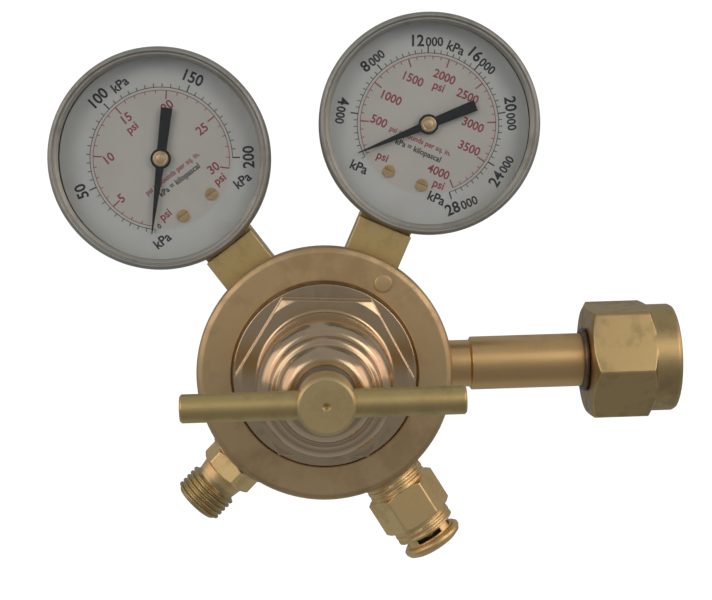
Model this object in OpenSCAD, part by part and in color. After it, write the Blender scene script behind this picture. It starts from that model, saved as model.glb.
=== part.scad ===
// Two-gauge compressed-gas cylinder regulator, inlet axis along +X.
// The origin is on the inlet axis, at the front end of the nipple's straight seating land.
// Everything round the adjusting screw is drawn in the regulator frame: its axis points to the front (-Y).

/* [Layout] */
// Distance from the adjusting screw's axis to the origin, along the inlet
inlet_reach = 97; // [92:1:130]
// High-pressure gauge, clockwise from straight up
high_gauge_angle = 24.7; // [20:0.1:32]
// Low-pressure gauge, clockwise from straight up
low_gauge_angle = -36; // [-44:1:-32]
// Relief valve, clockwise from straight up
relief_angle = 149.5; // [142:0.5:156]
// Outlet, clockwise from straight up
outlet_angle = 225.5; // [218:0.5:234]
// Adjusting screw's axis to a gauge's centre
gauge_reach = 81.7; // [79:0.5:95]
// How far the gauge ports lie behind the inlet axis
gauge_setback = 4; // [3:0.5:6]
// How far the outlet and the relief valve lie ahead of the inlet axis
front_port_advance = 4; // [3:0.1:4]

/* [Body] */
// Radius of the forged barrel
body_r = 31.5; // [31:0.5:34]
// Barrel depth behind the inlet axis
body_depth = 24; // [23:0.5:30]
// Radius of the front flange
flange_r = 38.75; // [36.5:0.25:41]
// Front face of the flange, ahead of the inlet axis
flange_front = 15; // [15:0.5:17]
// Flange thickness
flange_t = 5; // [3.5:0.25:5]
// Inlet and gauge port faces, from the adjusting screw's axis
port_reach = 36.5; // [35:0.5:38]
// Radius of the port bosses
boss_r = 9.8; // [8.5:0.1:9.9]
// Radius of the threads that screw into the ports
port_thread_r = 6.6; // [6:0.1:7]
// How far those threads reach into the body
port_thread_len = 9; // [6:0.5:10]
// Radius of the drilled gas passages
passage_r = 2; // [1.5:0.1:2.2]

/* [Bonnet] */
// Thread radius of the bonnet in the body
bonnet_thread_r = 26.5; // [25.5:0.1:27]
// Bonnet thread length
bonnet_thread_len = 4.5; // [4:0.1:5]
// Radius of the round collar under the hexagon
bonnet_collar_r = 27.4; // [27.2:0.1:28]
// Width of the body's mouth outside that collar
mouth_gap = 0.9; // [0.4:0.1:1.2]
// Depth of the mouth
mouth_depth = 2.5; // [2:0.1:3]
// Height of the collar above the mouth's floor
collar_h = 4.8; // [4:0.1:6]
// Hexagon, across flats
bonnet_af = 46.2; // [44:0.1:47]
// Height of the hexagon
bonnet_hex_h = 7.2; // [6:0.1:9]
// Turn of the hexagon about the screw's axis, clockwise
bonnet_turn = 3; // [0:1:30]
// Height of the bell above the hexagon
bell_h = 33.8; // [33.8:0.1:38]
// Radius of the bell's tall shoulder
shoulder_r = 19.5; // [19.5:0.1:21]
// Radius of the spring chamber
spring_room_r = 16.2; // [16:0.1:16.6]
// Radius of the flat nose
nose_r = 10.1; // [9.8:0.1:10.6]

/* [Adjusting screw] */
// Major radius of the adjusting screw
screw_r = 6.35; // [5.5:0.05:6.6]
// Thread pitch, 16 to the inch
screw_pitch = 1.5875; // [1.25:0.0125:2]
// Turns from backed out to fully in
screw_turns = 5.5; // [4:0.5:5.5]
// Length of the threaded stretch in the bonnet
bonnet_nut_len = 6; // [5:0.5:6.5]
// Radius of the plain head
head_r = 7.87; // [7.4:0.01:8.1]
// Length of the plain head
head_len = 13.5; // [12:0.5:16]
// Backed-out gap between head and nose
head_gap = 4; // [3:0.5:5]
// Radius of the tee bar
bar_r = 3.85; // [3:0.05:3.9]
// Length of the tee bar
bar_len = 75.8; // [60:0.2:90]
// Sideways offset of the bar in the head
bar_offset = -0.8; // [-2:0.1:2]
// Bar axis behind the head's front face
bar_setback = 4.8; // [4.6:0.1:6]
// Radius of the thrust ball
ball_r = 2.38; // [2:0.01:2.6]

/* [Springs and diaphragm] */
// Wire radius of the adjusting spring
spring_wire_r = 1.3; // [1:0.05:1.35]
// Mean coil radius of the adjusting spring
spring_coil_r = 12; // [11.6:0.1:12.4]
// Curls of the adjusting spring
spring_curls = 6; // [5:1:6]
// Radius of the spring's two end plates
plate_r = 14.5; // [14:0.1:15]
// Rim thickness of the spring's end plates
plate_t = 2.8; // [2.2:0.1:3]
// Diaphragm thickness
diaphragm_t = 0.8; // [0.5:0.1:1]
// Thickness of the slip ring above the diaphragm
slip_ring_t = 0.9; // [0.6:0.1:1.2]
// Low-pressure chamber radius
chamber_r = 17; // [16:0.1:18]
// Depth of that chamber below the diaphragm
chamber_depth = 7.2; // [7:0.1:7.6]

/* [Valve] */
// Thread radius of the nozzle
nozzle_r = 7.5; // [7:0.1:8]
// Thread length of the nozzle
nozzle_len = 6; // [5:0.1:6.5]
// High-pressure chamber radius
high_room_r = 6.5; // [6.2:0.1:6.8]
// Its depth below the nozzle
high_room_depth = 12; // [11.5:0.1:12.5]
// Valve stem radius
stem_r = 1; // [0.8:0.05:1.2]
// Valve lift
valve_lift = 0.8; // [0.4:0.1:1]

/* [Inlet nipple and nut] */
// Radius of the inlet tube
tube_r = 8.26; // [7.5:0.02:8.4]
// Radius of its neck next to the body
neck_r = 7.3; // [7:0.05:7.4]
// Length of that neck
neck_len = 9; // [6:0.5:12]
// Radius of the gas bore
inlet_bore_r = 2; // [1.5:0.1:3]
// Radius of the seating nose
nose_land_r = 7.2; // [6.8:0.05:7.4]
// Length of the straight seating land
nose_land_len = 8; // [7:0.5:8.5]
// Length of the rounded tip ahead of the land
nose_tip_len = 3; // [2:0.5:3.5]
// Radius of the shoulder that the nut pulls on
shoulder_disc_r = 9.8; // [9.4:0.1:10.2]
// Shoulder thickness
shoulder_disc_t = 2.4; // [2:0.1:3]
// Nut, across flats
nut_af = 33; // [32:0.25:34]
// Turn of the nut at rest
nut_turn = 36; // [0:1:60]
// Radius that the nut's corners are turned to
nut_corner_r = 18.75; // [18:0.05:18.9]
// Length of the hexagon
nut_hex_len = 19.3; // [18.5:0.1:22]
// Length of the round collar at the mouth
nut_collar_len = 7.7; // [6.5:0.1:9]
// Radius of that collar
nut_collar_r = 16.6; // [16.6:0.1:17]
// Thickness of the nut's back wall
nut_wall = 4.8; // [4:0.1:5.5]
// Minor radius of the nut's thread
nut_minor_r = 10.6; // [10.4:0.05:11]
// Thread depth
nut_thread_depth = 0.87; // [0.6:0.01:1]
// Thread pitch, 14 to the inch
nut_pitch = 1.814; // [1.5:0.01:2]
// Threads cut ahead of the nose
nut_threads = 4; // [3:1:4]
// Radius of the retaining ring's wire
ring_wire_r = 0.8; // [0.6:0.05:1]

/* [Outlet] */
// Outlet hexagon, across flats
outlet_af = 15.875; // [14:0.125:17]
// Turn of the outlet hexagon about its port
outlet_turn = 13; // [0:1:60]
// Outlet hexagon length
outlet_hex_len = 5.75; // [5:0.25:9]
// Tapered neck length
outlet_neck_len = 4.3; // [3:0.1:6]
// Crest radius of the hose thread
outlet_crest_r = 7.94; // [7.1:0.01:8]
// Depth of the hose thread
outlet_thread_depth = 0.95; // [0.7:0.01:1]
// Crest spacing of the hose thread
outlet_pitch = 1.6; // [1.4:0.05:1.8]
// Number of crests
outlet_crests = 5; // [4:1:8]
// Radius of the outlet's gas bore
outlet_bore_r = 3.2; // [2.5:0.1:3.6]

/* [Relief valve] */
// Relief hexagon, across flats
relief_af = 19.8; // [19.2:0.05:20.2]
// Turn of the relief hexagon about its port
relief_turn = -4; // [-30:1:30]
// Relief hexagon length
relief_hex_len = 11.6; // [9:0.1:13]
// Radius of the collar next to the body
relief_base_r = 9.5; // [8.5:0.1:9.6]
// Length of that collar
relief_base_len = 4.2; // [4:0.1:9]
// Radius of the ribbed ring beyond the hexagon
relief_rib_r = 9.4; // [8.4:0.1:9.6]
// Length of that ring
relief_rib_len = 4; // [4:0.1:6]
// Radius of the vented neck
relief_neck_r = 7.9; // [7:0.1:8.4]
// Length of the vented neck
relief_neck_len = 2.7; // [2.4:0.1:3.2]
// Height of its vent slots
relief_slot_h = 1.5; // [1:0.1:1.8]
// Radius of the cap
relief_cap_r = 9.5; // [8:0.05:9.7]
// Thickness of the cap
relief_cap_t = 3.4; // [2.6:0.1:4]
// Radius of the poppet's chamber
relief_room_r = 4.5; // [4.2:0.05:5]
// Poppet travel
relief_lift = 1.5; // [0.8:0.1:2]

/* [Gauges] */
// Outer radius of the case
case_r = 32.4; // [32.2:0.1:33]
// Thickness of the bezel outside the case
bezel_t = 1.3; // [1.2:0.1:2.4]
// How far the bezel's lip reaches in over the lens
bezel_lip = 2; // [1.6:0.1:3]
// Sheet thickness of the case
case_wall = 1; // [0.8:0.1:1.2]
// Depth of the case behind the stem's axis
case_back = 12; // [11:0.5:14]
// Height of the case's rim ahead of the stem's axis
case_front = 8; // [7.5:0.1:9]
// Lens thickness
lens_t = 1.8; // [1.4:0.1:2.2]
// Square of the stem
stem_square = 17; // [14:0.5:17]
// Thickness of the dial plate
dial_t = 0.6; // [0.4:0.1:0.8]
// Back of the dial, ahead of the stem's axis
dial_z = 2.4; // [2:0.1:2.8]
// Length of the pointer from its hub to its tip
pointer_len = 23.2; // [20:0.1:24]
// Length of the pointer's tail
pointer_tail = 15.6; // [12:0.1:17]
// Width of the tail
pointer_w = 3.5; // [2.5:0.1:4]
// Mean radius of the Bourdon tube
bourdon_r = 23; // [22.5:0.1:25]
// Teeth of the pinion
pinion_teeth = 10; // [10:1:10]
// Teeth of the whole circle that the sector is cut from
sector_teeth = 65; // [65:1:65]
// Gear module
gear_module = 0.28; // [0.28:0.01:0.28]

/* [Hidden] */
$fn = 64;

// Clearances
seat_gap = 0.05;      // two faces that are clamped together
slide_gap = 0.08;     // a sliding or turning fit on a large radius
arbor_gap = 0.04;     // a turning fit on a small arbor
rest_gap = 0.2;       // a spring's end and its seat
overcut = 1;          // how far a cutting tool runs past the face that it opens

// Heights on the adjusting screw's axis, ahead of the inlet axis
mouth_z = flange_front - mouth_depth;
skirt_z = mouth_z - bonnet_thread_len;
slip_z = skirt_z - seat_gap - slip_ring_t;
diaphragm_z = slip_z - seat_gap - diaphragm_t;
chamber_z = diaphragm_z - chamber_depth;
nozzle_z = chamber_z - nozzle_len;
high_floor_z = nozzle_z - high_room_depth;
hex_z = mouth_z + collar_h;
bell_z = hex_z + bonnet_hex_h;
nose_z = bell_z + bell_h;
mouth_r = bonnet_collar_r + mouth_gap;

// Adjusting screw, its button and spring
screw_travel = screw_pitch * screw_turns;
head_z = nose_z + head_gap;
head_front_z = head_z + head_len;
bar_z = head_front_z - bar_setback;
counterbore_r = head_r + 0.65;
counterbore_z = nose_z - (screw_travel - head_gap) - rest_gap;
nut_bottom_z = counterbore_z - bonnet_nut_len;
screw_end_z = nut_bottom_z - 1;
ball_z = screw_end_z - ball_r / 2 + 0.1;
button_top_z = screw_end_z - 2.2;
button_z = button_top_z - plate_t;
pilot_r = spring_coil_r - spring_wire_r - 1;
pilot_h = 3;
lower_plate_z = diaphragm_z + diaphragm_t + seat_gap;
lower_plate_top_z = lower_plate_z + plate_t;

// Valve
nozzle_bore_r = stem_r + 0.6;
nozzle_lip_h = 0.9;
lip_z = nozzle_z - nozzle_lip_h;
seat_r = 3.5;
seat_t = 1;
seat_z = lip_z - 0.1 - seat_t;
holder_r = 4.5;
holder_len = 5;
pusher_r = 8;
pusher_t = 2;
pusher_z = diaphragm_z - 0.2 - pusher_t;
nozzle_hex_h = pusher_z - valve_lift - 1.2 - chamber_z;
seat_spring_z = high_floor_z + rest_gap;

// Inlet nipple and nut, along +X
axis_x = -inlet_reach;
land_x = -nose_land_len;
shoulder_x = land_x - shoulder_disc_t;
nut_inner_x = shoulder_x - 0.3;
nut_back_x = nut_inner_x - nut_wall;
nut_front_x = nut_back_x + nut_hex_len + nut_collar_len;
nut_relief_r = nut_minor_r + nut_thread_depth + 0.2;
nut_thread_x = nut_front_x - 0.4 - nut_threads * nut_pitch;
ring_x = nut_back_x - 0.1 - ring_wire_r;

// Outlet and relief valve, along their ports, whose faces lie just clear of the flange
front_port_reach = flange_r + 0.25;
front_passage_r = min(passage_r, diaphragm_z - front_port_advance - 0.6);
outlet_neck_z = front_port_reach + outlet_hex_len;
outlet_thread_z = outlet_neck_z + outlet_neck_len;
outlet_end_z = outlet_thread_z + outlet_crests * outlet_pitch + 0.5;
relief_hex_z = front_port_reach + relief_base_len;
relief_rib_z = relief_hex_z + relief_hex_len;
relief_neck_z = relief_rib_z + relief_rib_len;
relief_cap_z = relief_neck_z + relief_neck_len;
relief_seat_z = front_port_reach + 1.5;
relief_seal_t = 1;
poppet_z = relief_seat_z + seat_gap + relief_seal_t;
poppet_len = relief_lift + 2.5;
cap_plug_len = 3.8;
relief_spring_z = poppet_z + poppet_len + rest_gap;
relief_spring_len = relief_cap_z - cap_plug_len - rest_gap - relief_spring_z;

// Gauge movement, in the gauge frame: X to the right, Y to the dial's top, Z to the front
pinion_r = gear_module * pinion_teeth / 2;
sector_r = gear_module * sector_teeth / 2;
sector_y = -(pinion_r + sector_r);
pointer_sweep = 270;
sector_swing = pointer_sweep * pinion_teeth / sector_teeth;
zero_angle = 225;          // where the pointer rests, anticlockwise from +X
arm_len = 7;
arm_angle = -sector_swing / 2;
arm_end = [arm_len * cos(arm_angle), sector_y + arm_len * sin(arm_angle)];
tip_angle = 3;
tip_pin_r = bourdon_r - 3.4;
tip_pin = [tip_pin_r * cos(tip_angle), tip_pin_r * sin(tip_angle)];
pin_r = 0.5;
arbor_r = 0.6;
block_top_y = -15.5;
block_front_z = dial_z - 0.4;
plate_back_z = -7;
frame_t = 0.8;
plate_front_z = -0.8;
gear_z = -4;
gear_t = 1;
link_t = 0.6;
link_z = gear_z - 0.5 - link_t;
pointer_z = dial_z + dial_t + 1.8;
pointer_t = 0.5;
pointer_hub_r = 3.1;
hub_cap_r = 2.4;
stem_len = gauge_reach - port_reach;
screw_spot = [5.5, -17.8];
bezel_r = case_r + bezel_t;
window_r = case_r - bezel_lip;
lens_z = case_front + seat_gap;
bezel_lip_z = lens_z + lens_t + seat_gap;

// Frames
module front() {
  translate([axis_x, 0, 0]) rotate([90, 0, 0]) children();
}
module port(angle, setback = 0) {
  front() translate([0, 0, -setback]) rotate([0, 0, -angle]) rotate([-90, 0, 0]) children();
}
module front_port(angle) {
  port(angle, -front_port_advance) children();
}
module along_inlet(x) {
  translate([x, 0, 0]) rotate([0, 90, 0]) children();
}
module gauge_at(angle) {
  front() rotate([0, 0, -angle]) translate([0, gauge_reach, -gauge_setback]) children();
}

// Shapes used more than once
module tube(r_out, r_in, h) {
  difference() {
    cylinder(r = r_out, h = h);
    translate([0, 0, -overcut]) cylinder(r = r_in, h = h + 2 * overcut);
  }
}
// A hexagonal bar with both ends chamfered, standing on its end
module hex_bar(af, h, corner_r, chamfer = 1) {
  intersection() {
    cylinder(r = af / sqrt(3), h = h, $fn = 6);
    rotate_extrude() polygon([
      [0, 0], [corner_r - 1.7 * chamfer, 0], [corner_r, chamfer],
      [corner_r, h - chamfer], [corner_r - 1.7 * chamfer, h], [0, h]
    ]);
  }
}
// Outline of ring-shaped thread crests, from the height low upward
function crest_points(crest_r, depth, pitch, crests, low = 0) = [
  for (i = [0 : crests - 1]) each [
    [crest_r - depth, low + (i + 0.15) * pitch], [crest_r, low + (i + 0.4) * pitch],
    [crest_r, low + (i + 0.6) * pitch], [crest_r - depth, low + (i + 0.85) * pitch]
  ]
];
// A coil spring of round wire: eight rings of six sides to each curl, its ends closed flat
function coil_point(coil_r, wire_r, h, curls, i) = let (
  steps = curls * 8, t = i / steps, a = 360 * curls * t
) [coil_r * cos(a), coil_r * sin(a), wire_r + (h - 2 * wire_r) * t];
module coil_spring(coil_r, wire_r, h, curls) {
  steps = curls * 8;
  rings = [for (i = [0 : steps]) let (
    c = coil_point(coil_r, wire_r, h, curls, i), a = 360 * curls * i / steps
  ) [for (k = [0 : 5]) c + wire_r * [cos(a) * cos(60 * k), sin(a) * cos(60 * k), sin(60 * k)]]];
  points = [for (ring = rings) each ring];
  sides = [for (i = [0 : steps - 1], k = [0 : 5]) let (
    a = 6 * i + k, b = 6 * i + (k + 1) % 6
  ) each [[a, a + 6, b + 6], [a, b + 6, b]]];
  first = [for (k = [1 : 4]) [0, k, k + 1]];
  last = [for (k = [1 : 4]) [6 * steps, 6 * steps + k + 1, 6 * steps + k]];
  polyhedron(points = points, faces = concat(sides, first, last));
  echo(least_gap_of_coil = (h - 2 * wire_r) / curls - 2 * wire_r);
}
// Outline of one gear tooth, pointing along the angle at
function tooth(r, teeth, at) = let (
  root = r - 1.35 * gear_module, tip = r + 0.85 * gear_module,
  root_half = 360 / teeth * 0.24, tip_half = 360 / teeth * 0.085
) [
  root * [cos(at - root_half), sin(at - root_half)], tip * [cos(at - tip_half), sin(at - tip_half)],
  tip * [cos(at + tip_half), sin(at + tip_half)], root * [cos(at + root_half), sin(at + root_half)]
];

// Regulator
module port_tools(angle, setback, reach) {
  port(angle, setback) translate([0, 0, reach - port_thread_len - seat_gap])
    cylinder(r = port_thread_r + seat_gap, h = port_thread_len + overcut + seat_gap);
}
// A drilling from the bottom of a port to the high-pressure chamber
module slanted_drilling(angle, setback) {
  start_r = port_reach - port_thread_len - 2;
  deep_z = (nozzle_z + high_floor_z) / 2;
  run = start_r - high_room_r + overcut;
  drop = -setback - deep_z;
  port(angle, setback) {
    translate([0, 0, start_r]) cylinder(r = passage_r, h = port_thread_len);
    translate([0, 0, start_r]) rotate([180 - atan2(drop, run), 0, 0])
      cylinder(r = passage_r * 0.8, h = norm([run, drop]));
  }
}
module body() {
  flange_back = flange_front - flange_t;
  color([0.55, 0.45, 0.28]) difference() {
    union() {
      front() rotate_extrude($fn = 96) polygon([
        [0, -body_depth], [body_r - 5, -body_depth], [body_r - 1.5, -body_depth + 1.5],
        [body_r, -body_depth + 5], [body_r, flange_back - 2], [body_r + 2, flange_back],
        [flange_r - 1.2, flange_back], [flange_r, flange_back + 1.2], [flange_r, flange_front - 1.8],
        [flange_r - 0.6, flange_front - 0.6], [flange_r - 1.8, flange_front], [0, flange_front]
      ]);
      port(90) cylinder(r = boss_r, h = port_reach);
      for (angle = [high_gauge_angle, low_gauge_angle]) port(angle, gauge_setback)
        cylinder(r = boss_r, h = port_reach);
      for (angle = [relief_angle, outlet_angle]) front_port(angle)
        cylinder(r = boss_r, h = front_port_reach);
    }
    front() {
      translate([0, 0, mouth_z]) cylinder(r = mouth_r, h = mouth_depth + overcut);
      translate([0, 0, diaphragm_z - seat_gap])
        cylinder(r = bonnet_thread_r + seat_gap, h = mouth_z - diaphragm_z + overcut);
      translate([0, 0, chamber_z]) cylinder(r = chamber_r, h = chamber_depth + overcut);
      translate([0, 0, nozzle_z]) cylinder(r = nozzle_r + seat_gap, h = nozzle_len + overcut);
      translate([0, 0, high_floor_z]) cylinder(r = high_room_r, h = high_room_depth + overcut);
    }
    port_tools(90, 0, port_reach);
    for (angle = [high_gauge_angle, low_gauge_angle]) port_tools(angle, gauge_setback, port_reach);
    for (angle = [relief_angle, outlet_angle]) port_tools(angle, -front_port_advance, front_port_reach);
    slanted_drilling(90, 0);
    slanted_drilling(high_gauge_angle, gauge_setback);
    for (angle = [relief_angle, outlet_angle]) front_port(angle)
      translate([0, 0, chamber_r - 2]) cylinder(r = front_passage_r, h = front_port_reach - chamber_r);
    port(low_gauge_angle, gauge_setback)
      translate([0, 0, chamber_r - 4]) cylinder(r = passage_r, h = port_reach - chamber_r);
    front() rotate([0, 0, -low_gauge_angle]) translate([0, chamber_r - 3, -gauge_setback])
      cylinder(r = passage_r, h = gauge_setback + chamber_z + overcut);
  }
}

module bonnet() {
  hex_corner_r = bonnet_af / sqrt(3);
  color([0.72, 0.55, 0.33]) front() difference() {
    union() {
      translate([0, 0, skirt_z]) cylinder(r = bonnet_thread_r, h = bonnet_thread_len + seat_gap);
      translate([0, 0, mouth_z + seat_gap]) cylinder(r = bonnet_collar_r, h = collar_h - seat_gap);
      rotate([0, 0, -bonnet_turn]) intersection() {
        translate([0, 0, mouth_z + 1])
          cylinder(r = hex_corner_r, h = bell_z - mouth_z - 1, $fn = 6);
        rotate_extrude() polygon([
          [0, mouth_z], [hex_corner_r, mouth_z], [hex_corner_r, bell_z - 0.9],
          [bonnet_af / 2 + 1.4, bell_z], [0, bell_z]
        ]);
      }
      // The wall, a lower rounded shoulder, a groove with a thin ridge, and the upper shoulder up to the nose
      rotate_extrude($fn = 96) polygon([
        [0, bell_z - 1], [shoulder_r + 1, bell_z - 1], [shoulder_r + 1, bell_z],
        [shoulder_r + 0.5, bell_z + 0.25], [shoulder_r + 0.3, bell_z + 0.8], [shoulder_r + 0.2, nose_z - 22],
        [shoulder_r + 0.1, nose_z - 17], [shoulder_r - 0.05, nose_z - 14], [shoulder_r - 0.3, nose_z - 12],
        [shoulder_r - 0.7, nose_z - 10.6], [shoulder_r - 1.2, nose_z - 9.6], [shoulder_r - 1.75, nose_z - 8.9],
        [shoulder_r - 2.4, nose_z - 8.4], [shoulder_r - 3, nose_z - 8.1], [shoulder_r - 3.5, nose_z - 7.75],
        [shoulder_r - 3.75, nose_z - 7.1], [shoulder_r - 3.9, nose_z - 6.1], [shoulder_r - 4.1, nose_z - 5.35],
        [shoulder_r - 4.45, nose_z - 4.9], [shoulder_r - 5, nose_z - 4.7], [shoulder_r - 5.55, nose_z - 4.55],
        [shoulder_r - 5.9, nose_z - 4], [shoulder_r - 6.3, nose_z - 3], [shoulder_r - 6.8, nose_z - 2.05],
        [shoulder_r - 7.4, nose_z - 1.25], [shoulder_r - 8.1, nose_z - 0.6], [shoulder_r - 8.75, nose_z - 0.2],
        [nose_r, nose_z], [0, nose_z]
      ]);
    }
    translate([0, 0, skirt_z - overcut])
      cylinder(r = spring_room_r, h = button_top_z + 0.6 - skirt_z + overcut);
    translate([0, 0, button_top_z + 0.6])
      cylinder(r1 = spring_room_r, r2 = screw_r + 2, h = nut_bottom_z - button_top_z - 0.6);
    translate([0, 0, nut_bottom_z - overcut])
      cylinder(r = screw_r + slide_gap, h = nose_z - nut_bottom_z + 2 * overcut);
    translate([0, 0, counterbore_z]) cylinder(r = counterbore_r, h = nose_z - counterbore_z + overcut);
    translate([0, 0, nose_z - 0.25]) cylinder(r1 = counterbore_r, r2 = counterbore_r + 0.5, h = 0.5);
  }
}
module adjusting_screw() {
  color([0.62, 0.56, 0.3]) front() difference() {
    union() {
      translate([0, 0, screw_end_z]) cylinder(r = screw_r, h = head_z - screw_end_z + overcut);
      rotate_extrude() polygon([
        [0, head_z], [head_r - 0.5, head_z], [head_r, head_z + 0.5], [head_r, head_front_z - 0.7],
        [head_r - 0.7, head_front_z], [0, head_front_z]
      ]);
    }
    translate([0, 0, bar_z]) rotate([0, 90, 0])
      translate([0, 0, -2 * head_r]) cylinder(r = bar_r + seat_gap / 2, h = 4 * head_r);
    translate([0, 0, head_front_z - 1]) cylinder(r1 = 0.1, r2 = 1.1, h = 1.01);
    translate([0, 0, ball_z]) sphere(r = ball_r + seat_gap);
  }
}
module tee_bar() {
  color([0.6, 0.52, 0.28]) front() translate([bar_offset - bar_len / 2, 0, bar_z]) rotate([0, 90, 0])
    rotate_extrude() polygon([
      [0, 0], [bar_r - 0.5, 0], [bar_r, 0.5], [bar_r, bar_len - 0.5], [bar_r - 0.5, bar_len], [0, bar_len]
    ]);
}
module spring_button() {
  color([0.6, 0.6, 0.62]) front() difference() {
    union() {
      translate([0, 0, button_z]) cylinder(r = plate_r, h = plate_t);
      translate([0, 0, button_z - pilot_h]) cylinder(r = pilot_r, h = pilot_h + overcut);
    }
    translate([0, 0, ball_z]) sphere(r = ball_r + seat_gap);
  }
}
module thrust_ball() {
  color([0.75, 0.75, 0.78]) front() translate([0, 0, ball_z]) sphere(r = ball_r, $fn = 48);
}
module adjusting_spring() {
  low = lower_plate_top_z + rest_gap;
  color([0.45, 0.45, 0.47]) front() translate([0, 0, low])
    coil_spring(spring_coil_r, spring_wire_r, button_z - rest_gap - low, spring_curls);
}
module lower_spring_plate() {
  color([0.6, 0.6, 0.62]) front() translate([0, 0, lower_plate_z]) {
    cylinder(r = plate_r, h = plate_t);
    cylinder(r = pilot_r, h = plate_t + pilot_h);
  }
}
module slip_ring() {
  color([0.6, 0.62, 0.64]) front() translate([0, 0, slip_z])
    tube(bonnet_thread_r - 2.1, chamber_r + 1, slip_ring_t);
}
module diaphragm() {
  color([0.15, 0.15, 0.16]) front() translate([0, 0, diaphragm_z])
    cylinder(r = bonnet_thread_r - 2.1, h = diaphragm_t);
}
module diaphragm_pusher() {
  color([0.72, 0.6, 0.34]) front() translate([0, 0, pusher_z]) cylinder(r = pusher_r, h = pusher_t);
}
module nozzle() {
  color([0.72, 0.6, 0.34]) front() difference() {
    union() {
      translate([0, 0, nozzle_z + seat_gap]) cylinder(r = nozzle_r, h = nozzle_len - seat_gap);
      translate([0, 0, chamber_z]) cylinder(r = nozzle_r, h = nozzle_hex_h, $fn = 6);
      translate([0, 0, lip_z])
        cylinder(r1 = nozzle_bore_r + 0.5, r2 = nozzle_bore_r + 1.2, h = nozzle_lip_h + overcut);
    }
    translate([0, 0, lip_z - overcut])
      cylinder(r = nozzle_bore_r, h = chamber_z + nozzle_hex_h - lip_z + 2 * overcut);
  }
}
module valve_stem() {
  color([0.7, 0.7, 0.72]) front() difference() {
    union() {
      translate([0, 0, seat_z]) cylinder(r = stem_r, h = pusher_z - seat_gap - seat_z);
      translate([0, 0, seat_z - holder_len + seat_t]) cylinder(r = holder_r, h = holder_len);
    }
    translate([0, 0, seat_z]) tube(seat_r + seat_gap, stem_r, seat_t + overcut);
  }
}
module valve_seat() {
  color([0.9, 0.9, 0.85]) front() translate([0, 0, seat_z + seat_gap])
    tube(seat_r, stem_r + seat_gap, seat_t - seat_gap);
}
module seat_spring() {
  color([0.6, 0.6, 0.62]) front() translate([0, 0, seat_spring_z])
    coil_spring(3.4, 0.35, seat_z - holder_len + seat_t - rest_gap - seat_spring_z, 3);
}
module inlet_filter() {
  color([0.6, 0.45, 0.3]) front() translate([0, 0, high_floor_z + 1])
    tube(high_room_r - seat_gap, holder_r + 0.7, high_room_depth - 3);
}

// Inlet
module inlet_nipple() {
  body_face = port_reach - inlet_reach;
  color([0.68, 0.54, 0.3]) along_inlet(0) difference() {
    union() {
      rotate_extrude($fn = 96) polygon([
        [0, body_face - port_thread_len], [port_thread_r, body_face - port_thread_len],
        [port_thread_r, body_face], [neck_r, body_face], [neck_r, body_face + neck_len - 0.6],
        [tube_r, body_face + neck_len], [tube_r, shoulder_x], [shoulder_disc_r, shoulder_x],
        [shoulder_disc_r, land_x], [nose_land_r, land_x], [nose_land_r, 0],
        [0.9 * nose_land_r, 0.45 * nose_tip_len], [0.72 * nose_land_r, 0.8 * nose_tip_len],
        [0.5 * nose_land_r, nose_tip_len], [0, nose_tip_len]
      ]);
    }
    translate([0, 0, body_face - port_thread_len - overcut])
      cylinder(r = inlet_bore_r, h = nose_tip_len - body_face + port_thread_len + 2 * overcut);
  }
}
module nut_retaining_ring() {
  color([0.12, 0.12, 0.12]) along_inlet(ring_x) difference() {
    rotate_extrude() translate([tube_r + ring_wire_r, 0]) circle(r = ring_wire_r + seat_gap, $fn = 24);
    translate([0, 0, -2 * ring_wire_r]) cylinder(r = tube_r + slide_gap / 2, h = 4 * ring_wire_r);
  }
}
module inlet_nut() {
  color([0.58, 0.5, 0.3]) difference() {
    union() {
      along_inlet(nut_back_x) rotate([0, 0, nut_turn]) hex_bar(nut_af, nut_hex_len, nut_corner_r, 1.4);
      along_inlet(nut_back_x + nut_hex_len - overcut) rotate_extrude($fn = 96) polygon([
        [0, 0], [nut_collar_r, 0], [nut_collar_r, nut_collar_len + overcut - 1.2],
        [nut_collar_r - 0.5, nut_collar_len + overcut - 0.3],
        [nut_collar_r - 1.2, nut_collar_len + overcut], [0, nut_collar_len + overcut]
      ]);
    }
    along_inlet(nut_back_x - overcut) cylinder(r = tube_r + slide_gap, h = nut_wall + 2 * overcut);
    along_inlet(nut_inner_x) cylinder(r = nut_relief_r, h = nut_thread_x - nut_inner_x + 0.1);
    along_inlet(nut_thread_x) rotate_extrude() polygon(concat(
      [[0, 0], [nut_minor_r, 0]],
      crest_points(nut_minor_r + nut_thread_depth, nut_thread_depth, nut_pitch, nut_threads),
      [[nut_minor_r, nut_threads * nut_pitch], [0, nut_threads * nut_pitch]]
    ));
    along_inlet(nut_front_x - 0.45) cylinder(r1 = nut_minor_r, r2 = nut_relief_r + 0.6, h = 0.9);
  }
}

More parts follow.
